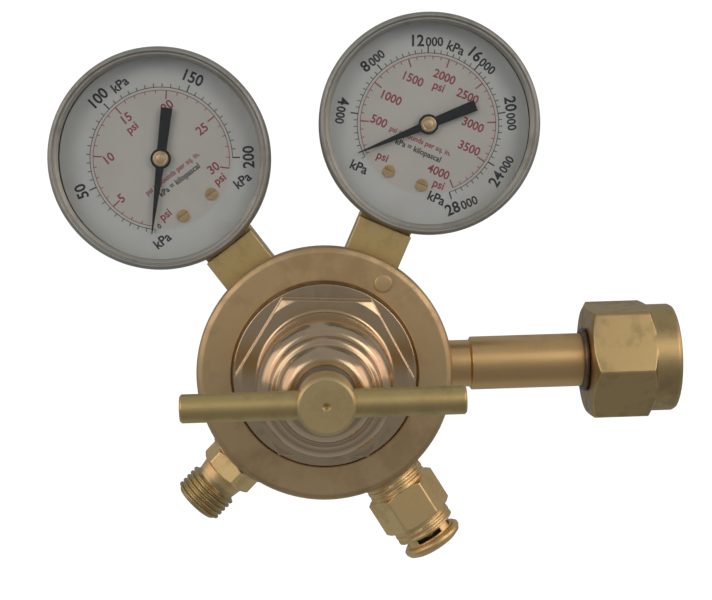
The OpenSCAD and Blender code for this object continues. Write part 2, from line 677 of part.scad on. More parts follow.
// Outlet
module outlet_fitting() {
  root_r = outlet_crest_r - outlet_thread_depth;
  neck_base_r = outlet_af / 2 - 0.6;
  color([0.66, 0.54, 0.3]) front_port(outlet_angle) difference() {
    union() {
      translate([0, 0, front_port_reach - port_thread_len])
        cylinder(r = port_thread_r, h = port_thread_len + overcut);
      translate([0, 0, front_port_reach]) rotate([0, 0, outlet_turn])
        hex_bar(outlet_af, outlet_hex_len, outlet_af / sqrt(3), 0.7);
      rotate_extrude() polygon(concat(
        [[0, outlet_neck_z - overcut], [neck_base_r, outlet_neck_z - overcut], [neck_base_r, outlet_neck_z],
          [root_r - 0.4, outlet_thread_z], [root_r, outlet_thread_z]],
        crest_points(outlet_crest_r, outlet_thread_depth, outlet_pitch, outlet_crests, outlet_thread_z),
        [[root_r, outlet_end_z - 0.4], [root_r - 0.4, outlet_end_z], [0, outlet_end_z]]
      ));
    }
    translate([0, 0, front_port_reach - port_thread_len - overcut])
      cylinder(r = outlet_bore_r, h = outlet_end_z - front_port_reach + port_thread_len + 2 * overcut);
    translate([0, 0, outlet_end_z - 2.5]) cylinder(r1 = outlet_bore_r, r2 = root_r - 1.2, h = 2.51);
  }
}

// Relief valve
module relief_body() {
  groove = 0.45;
  color([0.68, 0.56, 0.3]) front_port(relief_angle) difference() {
    union() {
      translate([0, 0, front_port_reach - port_thread_len])
        cylinder(r = port_thread_r, h = port_thread_len + overcut);
      translate([0, 0, front_port_reach]) cylinder(r = relief_base_r, h = relief_base_len + overcut);
      translate([0, 0, relief_hex_z]) rotate([0, 0, relief_turn])
        hex_bar(relief_af, relief_hex_len, relief_af / sqrt(3) - 0.1, 0.6);
      translate([0, 0, relief_rib_z - overcut]) cylinder(r = relief_rib_r, h = relief_rib_len + overcut);
      translate([0, 0, relief_neck_z - overcut]) cylinder(r = relief_neck_r, h = relief_neck_len + overcut);
    }
    for (z = [relief_hex_z - 3.8, relief_hex_z - 2]) translate([0, 0, z])
      tube(relief_base_r + overcut, relief_base_r - groove, 2 * groove);
    for (z = [relief_rib_z + 0.7, relief_rib_z + 2.4]) translate([0, 0, z])
      tube(relief_rib_r + overcut, relief_rib_r - groove, 2 * groove);
    translate([0, 0, front_port_reach - port_thread_len - overcut])
      cylinder(r = passage_r, h = port_thread_len + relief_base_len);
    translate([0, 0, relief_seat_z])
      cylinder(r = relief_room_r, h = relief_cap_z - relief_seat_z + overcut);
    for (turn = [0, 90, 180, 270]) rotate([0, 0, turn])
      translate([-4, 0, relief_neck_z + (relief_neck_len - relief_slot_h) / 2])
        cube([8, relief_neck_r + overcut, relief_slot_h]);
  }
}
module relief_cap() {
  plug_r = relief_room_r - 1.3;
  color([0.7, 0.58, 0.32]) front_port(relief_angle) translate([0, 0, relief_cap_z + seat_gap]) {
    rotate_extrude() polygon([
      [0, 0], [relief_cap_r - 0.7, 0], [relief_cap_r, 0.7], [relief_cap_r, relief_cap_t * 0.45],
      [relief_cap_r - 0.6, relief_cap_t * 0.75], [relief_cap_r - 1.9, relief_cap_t * 0.95],
      [relief_cap_r - 3, relief_cap_t], [0, relief_cap_t]
    ]);
    translate([0, 0, -cap_plug_len]) cylinder(r = plug_r, h = cap_plug_len + overcut);
  }
}
module relief_poppet() {
  color([0.7, 0.6, 0.36]) front_port(relief_angle) translate([0, 0, poppet_z]) {
    cylinder(r = relief_room_r - slide_gap, h = poppet_len);
    cylinder(r = relief_room_r - 2.3, h = poppet_len + 2);
  }
}
module relief_seal() {
  color([0.14, 0.14, 0.14]) front_port(relief_angle) translate([0, 0, relief_seat_z + seat_gap])
    cylinder(r = relief_room_r - 0.9, h = relief_seal_t);
}
module relief_spring() {
  color([0.6, 0.6, 0.62]) front_port(relief_angle) translate([0, 0, relief_spring_z])
    coil_spring(relief_room_r - 1.1, 0.4, relief_spring_len, 5);
}

// Gauges
module gauge_case() {
  block_room = [stem_square, 2 * case_wall + 3 + overcut, stem_square / 2 + block_front_z];
  color([0.62, 0.6, 0.54]) difference() {
    rotate_extrude($fn = 96) polygon([
      [0, -case_back], [case_r - 3, -case_back], [case_r - 0.9, -case_back + 0.9], [case_r, -case_back + 3],
      [case_r, case_front], [0, case_front]
    ]);
    translate([0, 0, -case_back + case_wall])
      cylinder(r = case_r - case_wall - 2, h = case_back + case_front + overcut);
    translate([0, 0, -case_back + 3])
      cylinder(r = case_r - case_wall, h = case_back + case_front + overcut);
    translate([-stem_square / 2 - rest_gap, -case_r - overcut, -stem_square / 2 - rest_gap])
      cube(block_room + 2 * rest_gap * [1, 0, 1]);
  }
}
module gauge_bezel() {
  color([0.66, 0.64, 0.58]) rotate_extrude($fn = 96) polygon([
    [case_r + seat_gap, case_front - 4.5], [bezel_r - 0.4, case_front - 4.5], [bezel_r, case_front - 3.9],
    [bezel_r, bezel_lip_z - 0.6], [bezel_r - 0.35, bezel_lip_z + 0.5], [bezel_r - 1.1, bezel_lip_z + 1.3],
    [bezel_r - 2.2, bezel_lip_z + 1.6], [window_r + 0.5, bezel_lip_z + 1.3], [window_r, bezel_lip_z + 0.7],
    [window_r, bezel_lip_z], [case_r + seat_gap, bezel_lip_z]
  ]);
}
module gauge_lens() {
  color([0.85, 0.9, 0.92, 0.35]) translate([0, 0, lens_z]) cylinder(r = case_r - 0.3, h = lens_t, $fn = 96);
}
module gauge_dial() {
  color([0.86, 0.9, 0.88]) difference() {
    translate([0, 0, dial_z]) cylinder(r = case_r - case_wall - 0.3, h = dial_t, $fn = 96);
    translate([0, 0, dial_z - overcut]) cylinder(r = 2.2, h = dial_t + 2 * overcut);
    for (side = [-1, 1]) translate([side * screw_spot.x, screw_spot.y, dial_z - overcut])
      cylinder(r = 0.95, h = dial_t + 2 * overcut);
  }
}
module gauge_dial_screws() {
  color([0.72, 0.6, 0.34])
    for (side = [-1, 1]) translate([side * screw_spot.x, screw_spot.y, 0]) difference() {
    union() {
      translate([0, 0, -2.5]) cylinder(r = 0.9, h = dial_z + dial_t + 2.6);
      translate([0, 0, dial_z + dial_t]) cylinder(r = 1.9, h = 0.7);
    }
    translate([-2.5, -0.35, dial_z + dial_t + 0.25]) cube([5, 0.7, 1]);
  }
}
module gauge_stem() {
  half = stem_square / 2;
  color([0.68, 0.55, 0.32]) difference() {
    union() {
      translate([-half, -stem_len, -half]) cube([stem_square, stem_len - bezel_r - rest_gap, stem_square]);
      translate([-half, -bezel_r - overcut, -half])
        cube([stem_square, block_top_y + bezel_r + overcut, half + block_front_z]);
      translate([-half, block_top_y - 0.1, -half]) cube([half + 2.5, 3.1, half + plate_back_z]);
      translate([0, -stem_len + 0.1, 0]) rotate([90, 0, 0])
        cylinder(r = port_thread_r, h = port_thread_len + 0.1);
    }
    translate([0, -stem_len - port_thread_len - overcut, 0]) rotate([-90, 0, 0])
      cylinder(r = 1, h = port_thread_len + stem_len + block_top_y - 3);
    for (side = [-1, 1]) translate([side * screw_spot.x, screw_spot.y, -2.6])
      cylinder(r = 0.9 + seat_gap / 2, h = dial_z + 2.6 + overcut);
  }
}
// A flattened tube bent round from the stem's block to its free tip
module gauge_bourdon_tube() {
  half_h = 3;
  half_w = 1.2;
  mid_z = -5;
  color([0.72, 0.58, 0.34]) {
    rotate([0, 0, tip_angle]) rotate_extrude(angle = 246 - tip_angle, $fn = 96) translate([bourdon_r, mid_z])
      polygon([
        [-half_w / 2, -half_h], [half_w / 2, -half_h], [half_w, -half_h / 2], [half_w, half_h / 2],
        [half_w / 2, half_h], [-half_w / 2, half_h], [-half_w, half_h / 2], [-half_w, -half_h / 2]
      ]);
    rotate([0, 0, tip_angle]) {
      translate([tip_pin_r - 1.2, -1.2, link_z - 1]) cube([bourdon_r - tip_pin_r + 1.2, 2.4, 0.8]);
      translate([tip_pin_r, 0, link_z - 1]) cylinder(r = pin_r, h = link_t + 1.2, $fn = 32);
    }
  }
}
module frame_plate(z) {
  translate([0, 0, z]) linear_extrude(frame_t) difference() {
    polygon([[-7, block_top_y + 0.5], [2.3, block_top_y + 0.5], [5, 4.6], [-5, 4.6]]);
    circle(r = arbor_r + arbor_gap, $fn = 32);
    translate([0, sector_y]) circle(r = arbor_r + arbor_gap, $fn = 32);
  }
}
module gauge_movement_frame() {
  color([0.7, 0.58, 0.34]) {
    frame_plate(plate_back_z);
    frame_plate(plate_front_z);
    for (spot = [[-5.6, -13.2], [3.6, 3.2], [-3.6, 3.2]])
      translate([spot.x, spot.y, plate_back_z + frame_t / 2])
        cylinder(r = 1, h = plate_front_z - plate_back_z, $fn = 32);
  }
}
module gauge_pinion() {
  step = 360 / pinion_teeth;
  outline = [for (i = [0 : pinion_teeth - 1]) each tooth(pinion_r, pinion_teeth, -90 + i * step)];
  color([0.74, 0.6, 0.34]) {
    translate([0, 0, plate_back_z]) cylinder(r = arbor_r, h = pointer_z - plate_back_z, $fn = 32);
    translate([0, 0, gear_z - 0.4]) linear_extrude(gear_t + 0.8) polygon(outline);
    translate([0, 0, pointer_z - 0.6]) cylinder(r = hub_cap_r, h = pointer_t + 1.4, $fn = 48);
  }
}
module gauge_sector_gear() {
  step = 360 / sector_teeth;
  first = 90 - sector_swing - 1.5 * step;
  count = floor((sector_swing + 3.5 * step) / step);
  start = 90 - step / 2 - step * floor((90 - step / 2 - first) / step);
  root = sector_r - 1.35 * gear_module;
  teeth = [for (i = [0 : count]) each tooth(sector_r, sector_teeth, start + i * step)];
  color([0.74, 0.6, 0.34]) translate([0, sector_y, 0]) {
    translate([0, 0, gear_z]) linear_extrude(gear_t) {
      polygon(concat([[0, 0]], teeth));
      circle(r = 1.7, $fn = 32);
      rotate(arm_angle) translate([0, -1]) square([arm_len, 2]);
      rotate(arm_angle) translate([arm_len, 0]) circle(r = 1.1, $fn = 32);
    }
    translate([0, 0, plate_back_z])
      cylinder(r = arbor_r, h = plate_front_z + frame_t - plate_back_z, $fn = 32);
    rotate([0, 0, arm_angle]) translate([arm_len, 0, link_z - 0.2])
      cylinder(r = pin_r, h = gear_z - link_z + 0.4, $fn = 32);
  }
}
module gauge_link() {
  span = tip_pin - arm_end;
  color([0.74, 0.6, 0.34]) translate([0, 0, link_z]) linear_extrude(link_t) difference() {
    union() {
      for (end = [arm_end, tip_pin]) translate(end) circle(r = 1.1, $fn = 32);
      translate(arm_end) rotate(atan2(span.y, span.x)) translate([0, -0.6]) square([norm(span), 1.2]);
    }
    for (end = [arm_end, tip_pin]) translate(end) circle(r = pin_r + arbor_gap, $fn = 32);
  }
}
module gauge_hairspring() {
  turns = 3.5;
  inner = arbor_r + 0.5;
  growth = 0.75;
  thick = 0.12;
  steps = turns * 20;
  spiral = function (i, extra) let (
    a = 360 * turns * i / steps, r = inner + growth * turns * i / steps + extra
  ) [r * cos(a), r * sin(a)];
  color([0.6, 0.6, 0.64]) translate([0, 0, -2.4]) linear_extrude(0.6) polygon(concat(
    [for (i = [0 : steps]) spiral(i, 0)], [for (i = [steps : -1 : 0]) spiral(i, thick)]));
}
module gauge_pointer() {
  color([0.08, 0.08, 0.09]) translate([0, 0, pointer_z]) rotate([0, 0, zero_angle]) difference() {
    union() {
      linear_extrude(pointer_t) polygon([
        [pointer_len, 0.15], [pointer_len, -0.15], [0, -pointer_w / 2 + 0.4], [-pointer_tail, -pointer_w / 2],
        [-pointer_tail, pointer_w / 2], [0, pointer_w / 2 - 0.4]
      ]);
      cylinder(r = pointer_hub_r, h = pointer_t);
    }
    translate([0, 0, -overcut]) cylinder(r = hub_cap_r + seat_gap / 2, h = pointer_t + 2 * overcut, $fn = 48);
  }
}

body();
bonnet();
adjusting_screw();
tee_bar();
spring_button();
thrust_ball();
adjusting_spring();
lower_spring_plate();
slip_ring();
diaphragm();
diaphragm_pusher();
nozzle();
valve_stem();
valve_seat();
seat_spring();
inlet_filter();
inlet_nipple();
nut_retaining_ring();
inlet_nut();
outlet_fitting();
relief_body();
relief_cap();
relief_poppet();
relief_seal();
relief_spring();
gauge_at(low_gauge_angle) gauge_case();  // low_case
gauge_at(low_gauge_angle) gauge_bezel();  // low_bezel
gauge_at(low_gauge_angle) gauge_lens();  // low_lens
gauge_at(low_gauge_angle) gauge_dial();  // low_dial
gauge_at(low_gauge_angle) gauge_dial_screws();  // low_dial_screws
gauge_at(low_gauge_angle) gauge_stem();  // low_stem
gauge_at(low_gauge_angle) gauge_bourdon_tube();  // low_bourdon_tube
gauge_at(low_gauge_angle) gauge_movement_frame();  // low_movement_frame
gauge_at(low_gauge_angle) gauge_pinion();  // low_pinion
gauge_at(low_gauge_angle) gauge_sector_gear();  // low_sector_gear
gauge_at(low_gauge_angle) gauge_link();  // low_link
gauge_at(low_gauge_angle) gauge_hairspring();  // low_hairspring
gauge_at(low_gauge_angle) gauge_pointer();  // low_pointer
gauge_at(high_gauge_angle) gauge_case();  // high_case
gauge_at(high_gauge_angle) gauge_bezel();  // high_bezel
gauge_at(high_gauge_angle) gauge_lens();  // high_lens
gauge_at(high_gauge_angle) gauge_dial();  // high_dial
gauge_at(high_gauge_angle) gauge_dial_screws();  // high_dial_screws
gauge_at(high_gauge_angle) gauge_stem();  // high_stem
gauge_at(high_gauge_angle) gauge_bourdon_tube();  // high_bourdon_tube
gauge_at(high_gauge_angle) gauge_movement_frame();  // high_movement_frame
gauge_at(high_gauge_angle) gauge_pinion();  // high_pinion
gauge_at(high_gauge_angle) gauge_sector_gear();  // high_sector_gear
gauge_at(high_gauge_angle) gauge_link();  // high_link
gauge_at(high_gauge_angle) gauge_hairspring();  // high_hairspring
gauge_at(high_gauge_angle) gauge_pointer();  // high_pointer
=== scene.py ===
"""Dressed model of a two-gauge compressed-gas cylinder regulator.

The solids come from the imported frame.  This script gives each of them its finish, prints the
two dials, rolls the gauge rims, turns the pointers' hubs and the flange's pad, and sets up a
plain studio.

Sizes of pieces are in millimetres in the frame of what carries them, and a Place turns them
into the frame's metres.
"""

from __future__ import annotations

import logging
import math
from dataclasses import dataclass, field, replace
from enum import Enum

import bpy
from mathutils import Euler, Matrix, Vector

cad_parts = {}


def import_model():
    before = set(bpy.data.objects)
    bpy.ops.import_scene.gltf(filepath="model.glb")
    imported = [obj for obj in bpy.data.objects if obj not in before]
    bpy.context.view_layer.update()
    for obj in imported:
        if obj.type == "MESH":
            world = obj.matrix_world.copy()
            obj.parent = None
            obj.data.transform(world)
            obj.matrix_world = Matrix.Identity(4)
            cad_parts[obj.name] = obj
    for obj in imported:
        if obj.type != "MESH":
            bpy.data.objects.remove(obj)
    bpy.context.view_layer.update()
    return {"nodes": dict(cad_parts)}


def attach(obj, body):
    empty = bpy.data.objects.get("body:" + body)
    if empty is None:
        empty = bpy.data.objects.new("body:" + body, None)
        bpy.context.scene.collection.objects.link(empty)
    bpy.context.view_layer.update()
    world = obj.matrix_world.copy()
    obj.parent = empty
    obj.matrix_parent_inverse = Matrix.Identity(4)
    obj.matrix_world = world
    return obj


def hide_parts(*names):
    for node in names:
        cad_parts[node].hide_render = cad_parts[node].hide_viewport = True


LOG = logging.getLogger("regulator")
MM = 0.001
RGB = tuple[float, float, float]
Point2 = tuple[float, float]
Point3 = tuple[float, float, float]
Runs = tuple[tuple[str, float], ...]

# Layout of the solids, in millimetres and degrees
INLET_REACH = 97.0
GAUGE_REACH = 81.7
GAUGE_SETBACK = 4.0
FRONT_ADVANCE = 4.0
LOW_GAUGE_ANGLE = -36.0
HIGH_GAUGE_ANGLE = 24.7
OUTLET_ANGLE = 225.5
RELIEF_ANGLE = 149.5

# Points closer than this are one point, in a piece's own units
WELD = 0.0005
# Faces that meet at less than this are shaded as one
CREASE = math.radians(28)


# Places
@dataclass(frozen=True)
class Place:
    """A named local frame: its origin in millimetres and its three unit axes.

    Attributes:
        origin: Where the local origin lies in the row frame.
        x: Local X axis.
        y: Local Y axis.
        z: Local Z axis, which turned pieces turn about.
    """

    origin: Point3
    x: Point3
    y: Point3
    z: Point3

    def rotation(self) -> Matrix:
        """The frame's axes as the columns of a rotation."""
        return Matrix((self.x, self.y, self.z)).transposed()

    def matrix(self) -> Matrix:
        """Takes local millimetres to the row frame's metres."""
        place = Matrix.Translation(Vector(self.origin) * MM)
        return place @ self.rotation().to_4x4() @ Matrix.Scale(MM, 4)

    def euler(self) -> Euler:
        """The frame's turn, for a Mapping node."""
        return self.rotation().to_euler()


def screw_place() -> Place:
    """The adjusting screw's frame: X to the right, Y up, Z to the front."""
    return Place((-INLET_REACH, 0, 0), (1, 0, 0), (0, 0, 1), (0, -1, 0))


def gauge_place(angle: float) -> Place:
    """A gauge's frame: X to the dial's right, Y to its top, Z to the front.

    Args:
        angle: Turn of the gauge from straight up, clockwise, in degrees.

    Returns:
        The gauge's place.
    """
    s, c = math.sin(math.radians(angle)), math.cos(math.radians(angle))
    origin = (GAUGE_REACH * s - INLET_REACH, GAUGE_SETBACK, GAUGE_REACH * c)
    return Place(origin, (c, 0, -s), (s, 0, c), (0, -1, 0))


def port_place(angle: float, advance: float = 0.0) -> Place:
    """The frame of a port round the body: Z runs out along the port.

    Args:
        angle: Turn of the port from straight up, clockwise, in degrees.
        advance: How far the port lies ahead of the inlet axis, in millimetres.

    Returns:
        The port's place.
    """
    s, c = math.sin(math.radians(angle)), math.cos(math.radians(angle))
    return Place((-INLET_REACH, -advance, 0), (c, 0, -s), (0, 1, 0), (s, 0, c))


def inlet_place() -> Place:
    """The inlet's frame: Z runs out of the nut."""
    return Place((0, 0, 0), (0, 0, -1), (0, 1, 0), (1, 0, 0))


def bar_place() -> Place:
    """The tee bar's frame: Z runs along the bar."""
    return replace(inlet_place(), origin=(-INLET_REACH, 0, 0))


# Shader arithmetic

# How far a rounded normal leans from the true one where an edge starts and where it is full
EDGE_LEAN = (0.004, 0.09)


@dataclass(frozen=True)
class Noise:
    """A kind of noise.

    Attributes:
        scale: Waves per metre.
        octaves: How many octaves it has.
        roughness: How much the finer octaves count.
    """

    scale: float
    octaves: float
    roughness: float


class Wire:
    """One output socket that takes part in arithmetic, each step of which adds a Math node."""

    def __init__(self, graph: "ShaderGraph", socket: bpy.types.NodeSocket | None) -> None:
        """Wraps a socket.

        Args:
            graph: The node graph that the socket belongs to.
            socket: The output socket; a node that ends the graph has none.
        """
        self.graph = graph
        self.socket = socket

    def _math(self, operation: str, first: object, second: object = 0.0) -> "Wire":
        """One Math node over two values."""
        return self.graph.node("ShaderNodeMath", {"operation": operation}, {0: first, 1: second})

    def __add__(self, other: object) -> "Wire":
        """Sum."""
        return self._math("ADD", self, other)

    def __radd__(self, other: object) -> "Wire":
        """Sum, reflected."""
        return self._math("ADD", other, self)

    def __sub__(self, other: object) -> "Wire":
        """Difference."""
        return self._math("SUBTRACT", self, other)

    def __rsub__(self, other: object) -> "Wire":
        """Difference, reflected."""
        return self._math("SUBTRACT", other, self)

    def __mul__(self, other: object) -> "Wire":
        """Product."""
        return self._math("MULTIPLY", self, other)

    def __rmul__(self, other: object) -> "Wire":
        """Product, reflected."""
        return self._math("MULTIPLY", other, self)

    def __truediv__(self, other: object) -> "Wire":
        """Quotient."""
        return self._math("DIVIDE", self, other)

    def __rtruediv__(self, other: object) -> "Wire":
        """Quotient, reflected."""
        return self._math("DIVIDE", other, self)

    def between(
        self, low: float, high: float, out_low: float = 0.0, out_high: float = 1.0
    ) -> "Wire":
        """Eases the value from one range to another and holds it outside.

        Args:
            low: Value that gives out_low.
            high: Value that gives out_high.
            out_low: Result at and below low.
            out_high: Result at and above high.

        Returns:
            The eased value.
        """
        ends = {"From Min": low, "From Max": high, "To Min": out_low, "To Max": out_high}
        return self.graph.node(
            "ShaderNodeMapRange", {"interpolation_type": "SMOOTHSTEP"}, {"Value": self, **ends}
        )


class ShaderGraph:
    """A node graph and the few ways in which nodes are added to it."""

    def __init__(self, name: str, tree: bpy.types.NodeTree | None = None) -> None:
        """Makes an empty material, or empties the tree that it is given.

        Args:
            name: The material's name.
            tree: The tree to work in, such as the world's.
        """
        if tree is None:
            self.material = bpy.data.materials.new(name)
            self.material.use_nodes = True
            tree = self.material.node_tree
        self.tree = tree
        self.tree.nodes.clear()

    @staticmethod
    def _socket(sockets: bpy.types.bpy_prop_collection, key: str | int) -> bpy.types.NodeSocket:
        """A socket by its index, its identifier or its name."""
        same = [s for s in sockets if s.identifier == key]
        return same[0] if same else sockets[key]

    @staticmethod
    def _fill_ramp(ramp: bpy.types.ColorRamp, stops: list[tuple[float, RGB]]) -> None:
        """Gives a colour ramp its stops.

        Args:
            ramp: The ramp, which has its two first stops.
            stops: Position and colour of each stop, from low to high.
        """
        ends = (ramp.elements[0], ramp.elements[1])
        for stop, (at, colour) in zip(ends, (stops[0], stops[-1])):
            stop.position, stop.color = at, (*colour, 1.0)
        for at, colour in stops[1:-1]:
            ramp.elements.new(at).color = (*colour, 1.0)

    def node(
        self, kind: str, settings: dict | None = None, sockets: dict | None = None,
        output: str | int | None = None,
    ) -> Wire:
        """Adds one node.

        Args:
            kind: The node's type.
            settings: Properties set first, such as a Math node's operation; "stops" fills a ramp.
            sockets: Values or wires for inputs, by index, identifier or name.
            output: The output to return, told in the same way; the first enabled one if left out.

        Returns:
            The chosen output, without a socket where the node ends the graph.
        """
        made = self.tree.nodes.new(kind)
        for key, value in (settings or {}).items():
            if key == "stops":
                self._fill_ramp(made.color_ramp, value)
            else:
                setattr(made, key, value)
        for key, value in (sockets or {}).items():
            target = self._socket(made.inputs, key)
            if isinstance(value, Wire):
                self.tree.links.new(value.socket, target)
            elif target.type == "RGBA":
                target.default_value = (*value, 1.0)
            else:
                target.default_value = value
        if output is not None:
            return Wire(self, self._socket(made.outputs, output))
        return Wire(self, next((s for s in made.outputs if s.enabled), None))

    def mix(self, first: object, second: object, factor: object) -> Wire:
        """Mixes two colours.

        Args:
            first: Colour at factor 0.
            second: Colour at factor 1.
            factor: How much of the second.

        Returns:
            The mixed colour.
        """
        ends = {"Factor_Float": factor, "A_Color": first, "B_Color": second}
        return self.node("ShaderNodeMix", {"data_type": "RGBA"}, ends, "Result_Color")

    def vector(self, operation: str, first: object, second: object = (0.0, 0.0, 0.0)) -> Wire:
        """One Vector Math node.

        Args:
            operation: The node's operation.
            first: First vector.
            second: Second vector.

        Returns:
            The vector, or the value of a dot product or a length.
        """
        out = "Value" if operation in ("DOT_PRODUCT", "LENGTH") else "Vector"
        values = {0: first, 1: second}
        return self.node("ShaderNodeVectorMath", {"operation": operation}, values, out)

    def noise(self, at: Wire, pattern: Noise) -> Wire:
        """A noise value about 0.5.

        Args:
            at: Where it is read.
            pattern: The kind of noise.

        Returns:
            The value.
        """
        values = {
            "Vector": at, "Scale": pattern.scale, "Detail": pattern.octaves,
            "Roughness": pattern.roughness,
        }
        return self.node("ShaderNodeTexNoise", {}, values, "Fac")

    def local(self, place: Place) -> Wire:
        """Object coordinates in a place's own frame, in metres.

        Args:
            place: The frame.

        Returns:
            The coordinates.
        """
        values = {
            "Vector": self.plain(), "Location": tuple(v * MM for v in place.origin),
            "Rotation": tuple(place.euler()),
        }
        return self.node("ShaderNodeMapping", {"vector_type": "TEXTURE"}, values)

    def plain(self) -> Wire:
        """Object coordinates in the row frame, in metres."""
        return self.node("ShaderNodeTexCoord", {}, {}, "Object")

    def along(self, at: Wire, axis: str) -> Wire:
        """One coordinate, X, Y or Z."""
        return self.node("ShaderNodeSeparateXYZ", {}, {0: at}, axis)

    def radius(self, at: Wire) -> Wire:
        """Distance from the local Z axis."""
        return self.vector("LENGTH", self.vector("MULTIPLY", at, (1.0, 1.0, 0.0)))

    def bump(self, height: Wire, distance: float, normal: Wire | None = None) -> Wire:
        """A bumped normal.

        Args:
            height: Height, 0 to 1.
            distance: Height of 1, in metres.
            normal: Normal that it starts from.

        Returns:
            The normal.
        """
        values: dict = {"Height": height, "Distance": distance, "Strength": 1.0}
        if normal is not None:
            values["Normal"] = normal
        return self.node("ShaderNodeBump", {}, values, "Normal")

    def rounded(self, radius: float) -> Wire:
        """The normal with sharp edges rounded to a radius in metres."""
        return self.node("ShaderNodeBevel", {"samples": 6}, {"Radius": radius}, "Normal")

    def edge(self, rounded: Wire) -> Wire:
        """How far the rounded normal leans from the true one, 0 on flats and about 1 on edges.

        Args:
            rounded: The rounded normal.

        Returns:
            The mask.
        """
        true = self.node("ShaderNodeNewGeometry", {}, {}, "Normal")
        lean = 1.0 - self.vector("DOT_PRODUCT", rounded, true)
        return lean.between(*EDGE_LEAN)

    def principled(self, **sockets: object) -> None:
        """Ends the graph in a Principled shader.

        Args:
            **sockets: Values or wires for its inputs, with underscores for spaces.
        """
        named = {key.replace("_", " "): value for key, value in sockets.items()}
        shader = self.node("ShaderNodeBsdfPrincipled", {}, named, "BSDF")
        self.surface(shader)

    def surface(self, shader: Wire, end: str = "ShaderNodeOutputMaterial") -> None:
        """Connects a shader to the tree's output, which is of the type given."""
        self.node(end, {}, {"Surface": shader})


# Finishes
class Grain(Enum):
    """How a metal surface was worked."""

    CAST = "cast"
    TURNED = "turned"
    DRAWN = "drawn"
    POLISHED = "polished"
    PLATED = "plated"
    SINTERED = "sintered"


# Grains of the worked surfaces
CAST_LUMPS = Noise(420.0, 3.0, 0.6)
FINE_GRAIN = Noise(2600.0, 2.0, 0.6)
PLATING = Noise(1400.0, 2.0, 0.5)
DRAWN_LINES = Noise(3000.0, 3.0, 0.6)
POLISH_RINGS = Noise(900.0, 3.0, 0.65)
TOOL_RINGS = Noise(2200.0, 3.0, 0.65)
SINTER_SCALE = 3200.0
# Width of a drawn line as a share of its length
DRAWN_STRETCH = 0.035
# Shares of the lumps in a casting and of the broad patches in tarnish, the rest being finer
LUMP_SHARE = 0.75
BROAD_SHARE = 0.7
# Noise at which tarnish starts and is full, and how far full cover lowers both
TARNISH = (0.62, 0.78)
COVER_SHIFT = 0.3
# Grain height at which streaks start and are full, and their brightness beside clean metal
STREAKS = (0.5, 0.85)
STREAK_SHADE = 0.82
# How much an edge's colour is lightened, partly for rubbing and partly as a painted highlight,
# and how much smoother it is
EDGE_WEAR_AND_GLINT = 0.75
EDGE_POLISH = 0.3
# Half the width over which a bore's painted light and shade fade out, in millimetres, and its
# added roughness
BORE_PAINT_FADE = 0.15
BORE_PAINT_ROUGH = 0.2
# Half the width over which the stain fades in, and how far in all its start wanders, in
# millimetres
STAIN_FADE = 0.4
STAIN_DRIFT = 3.0


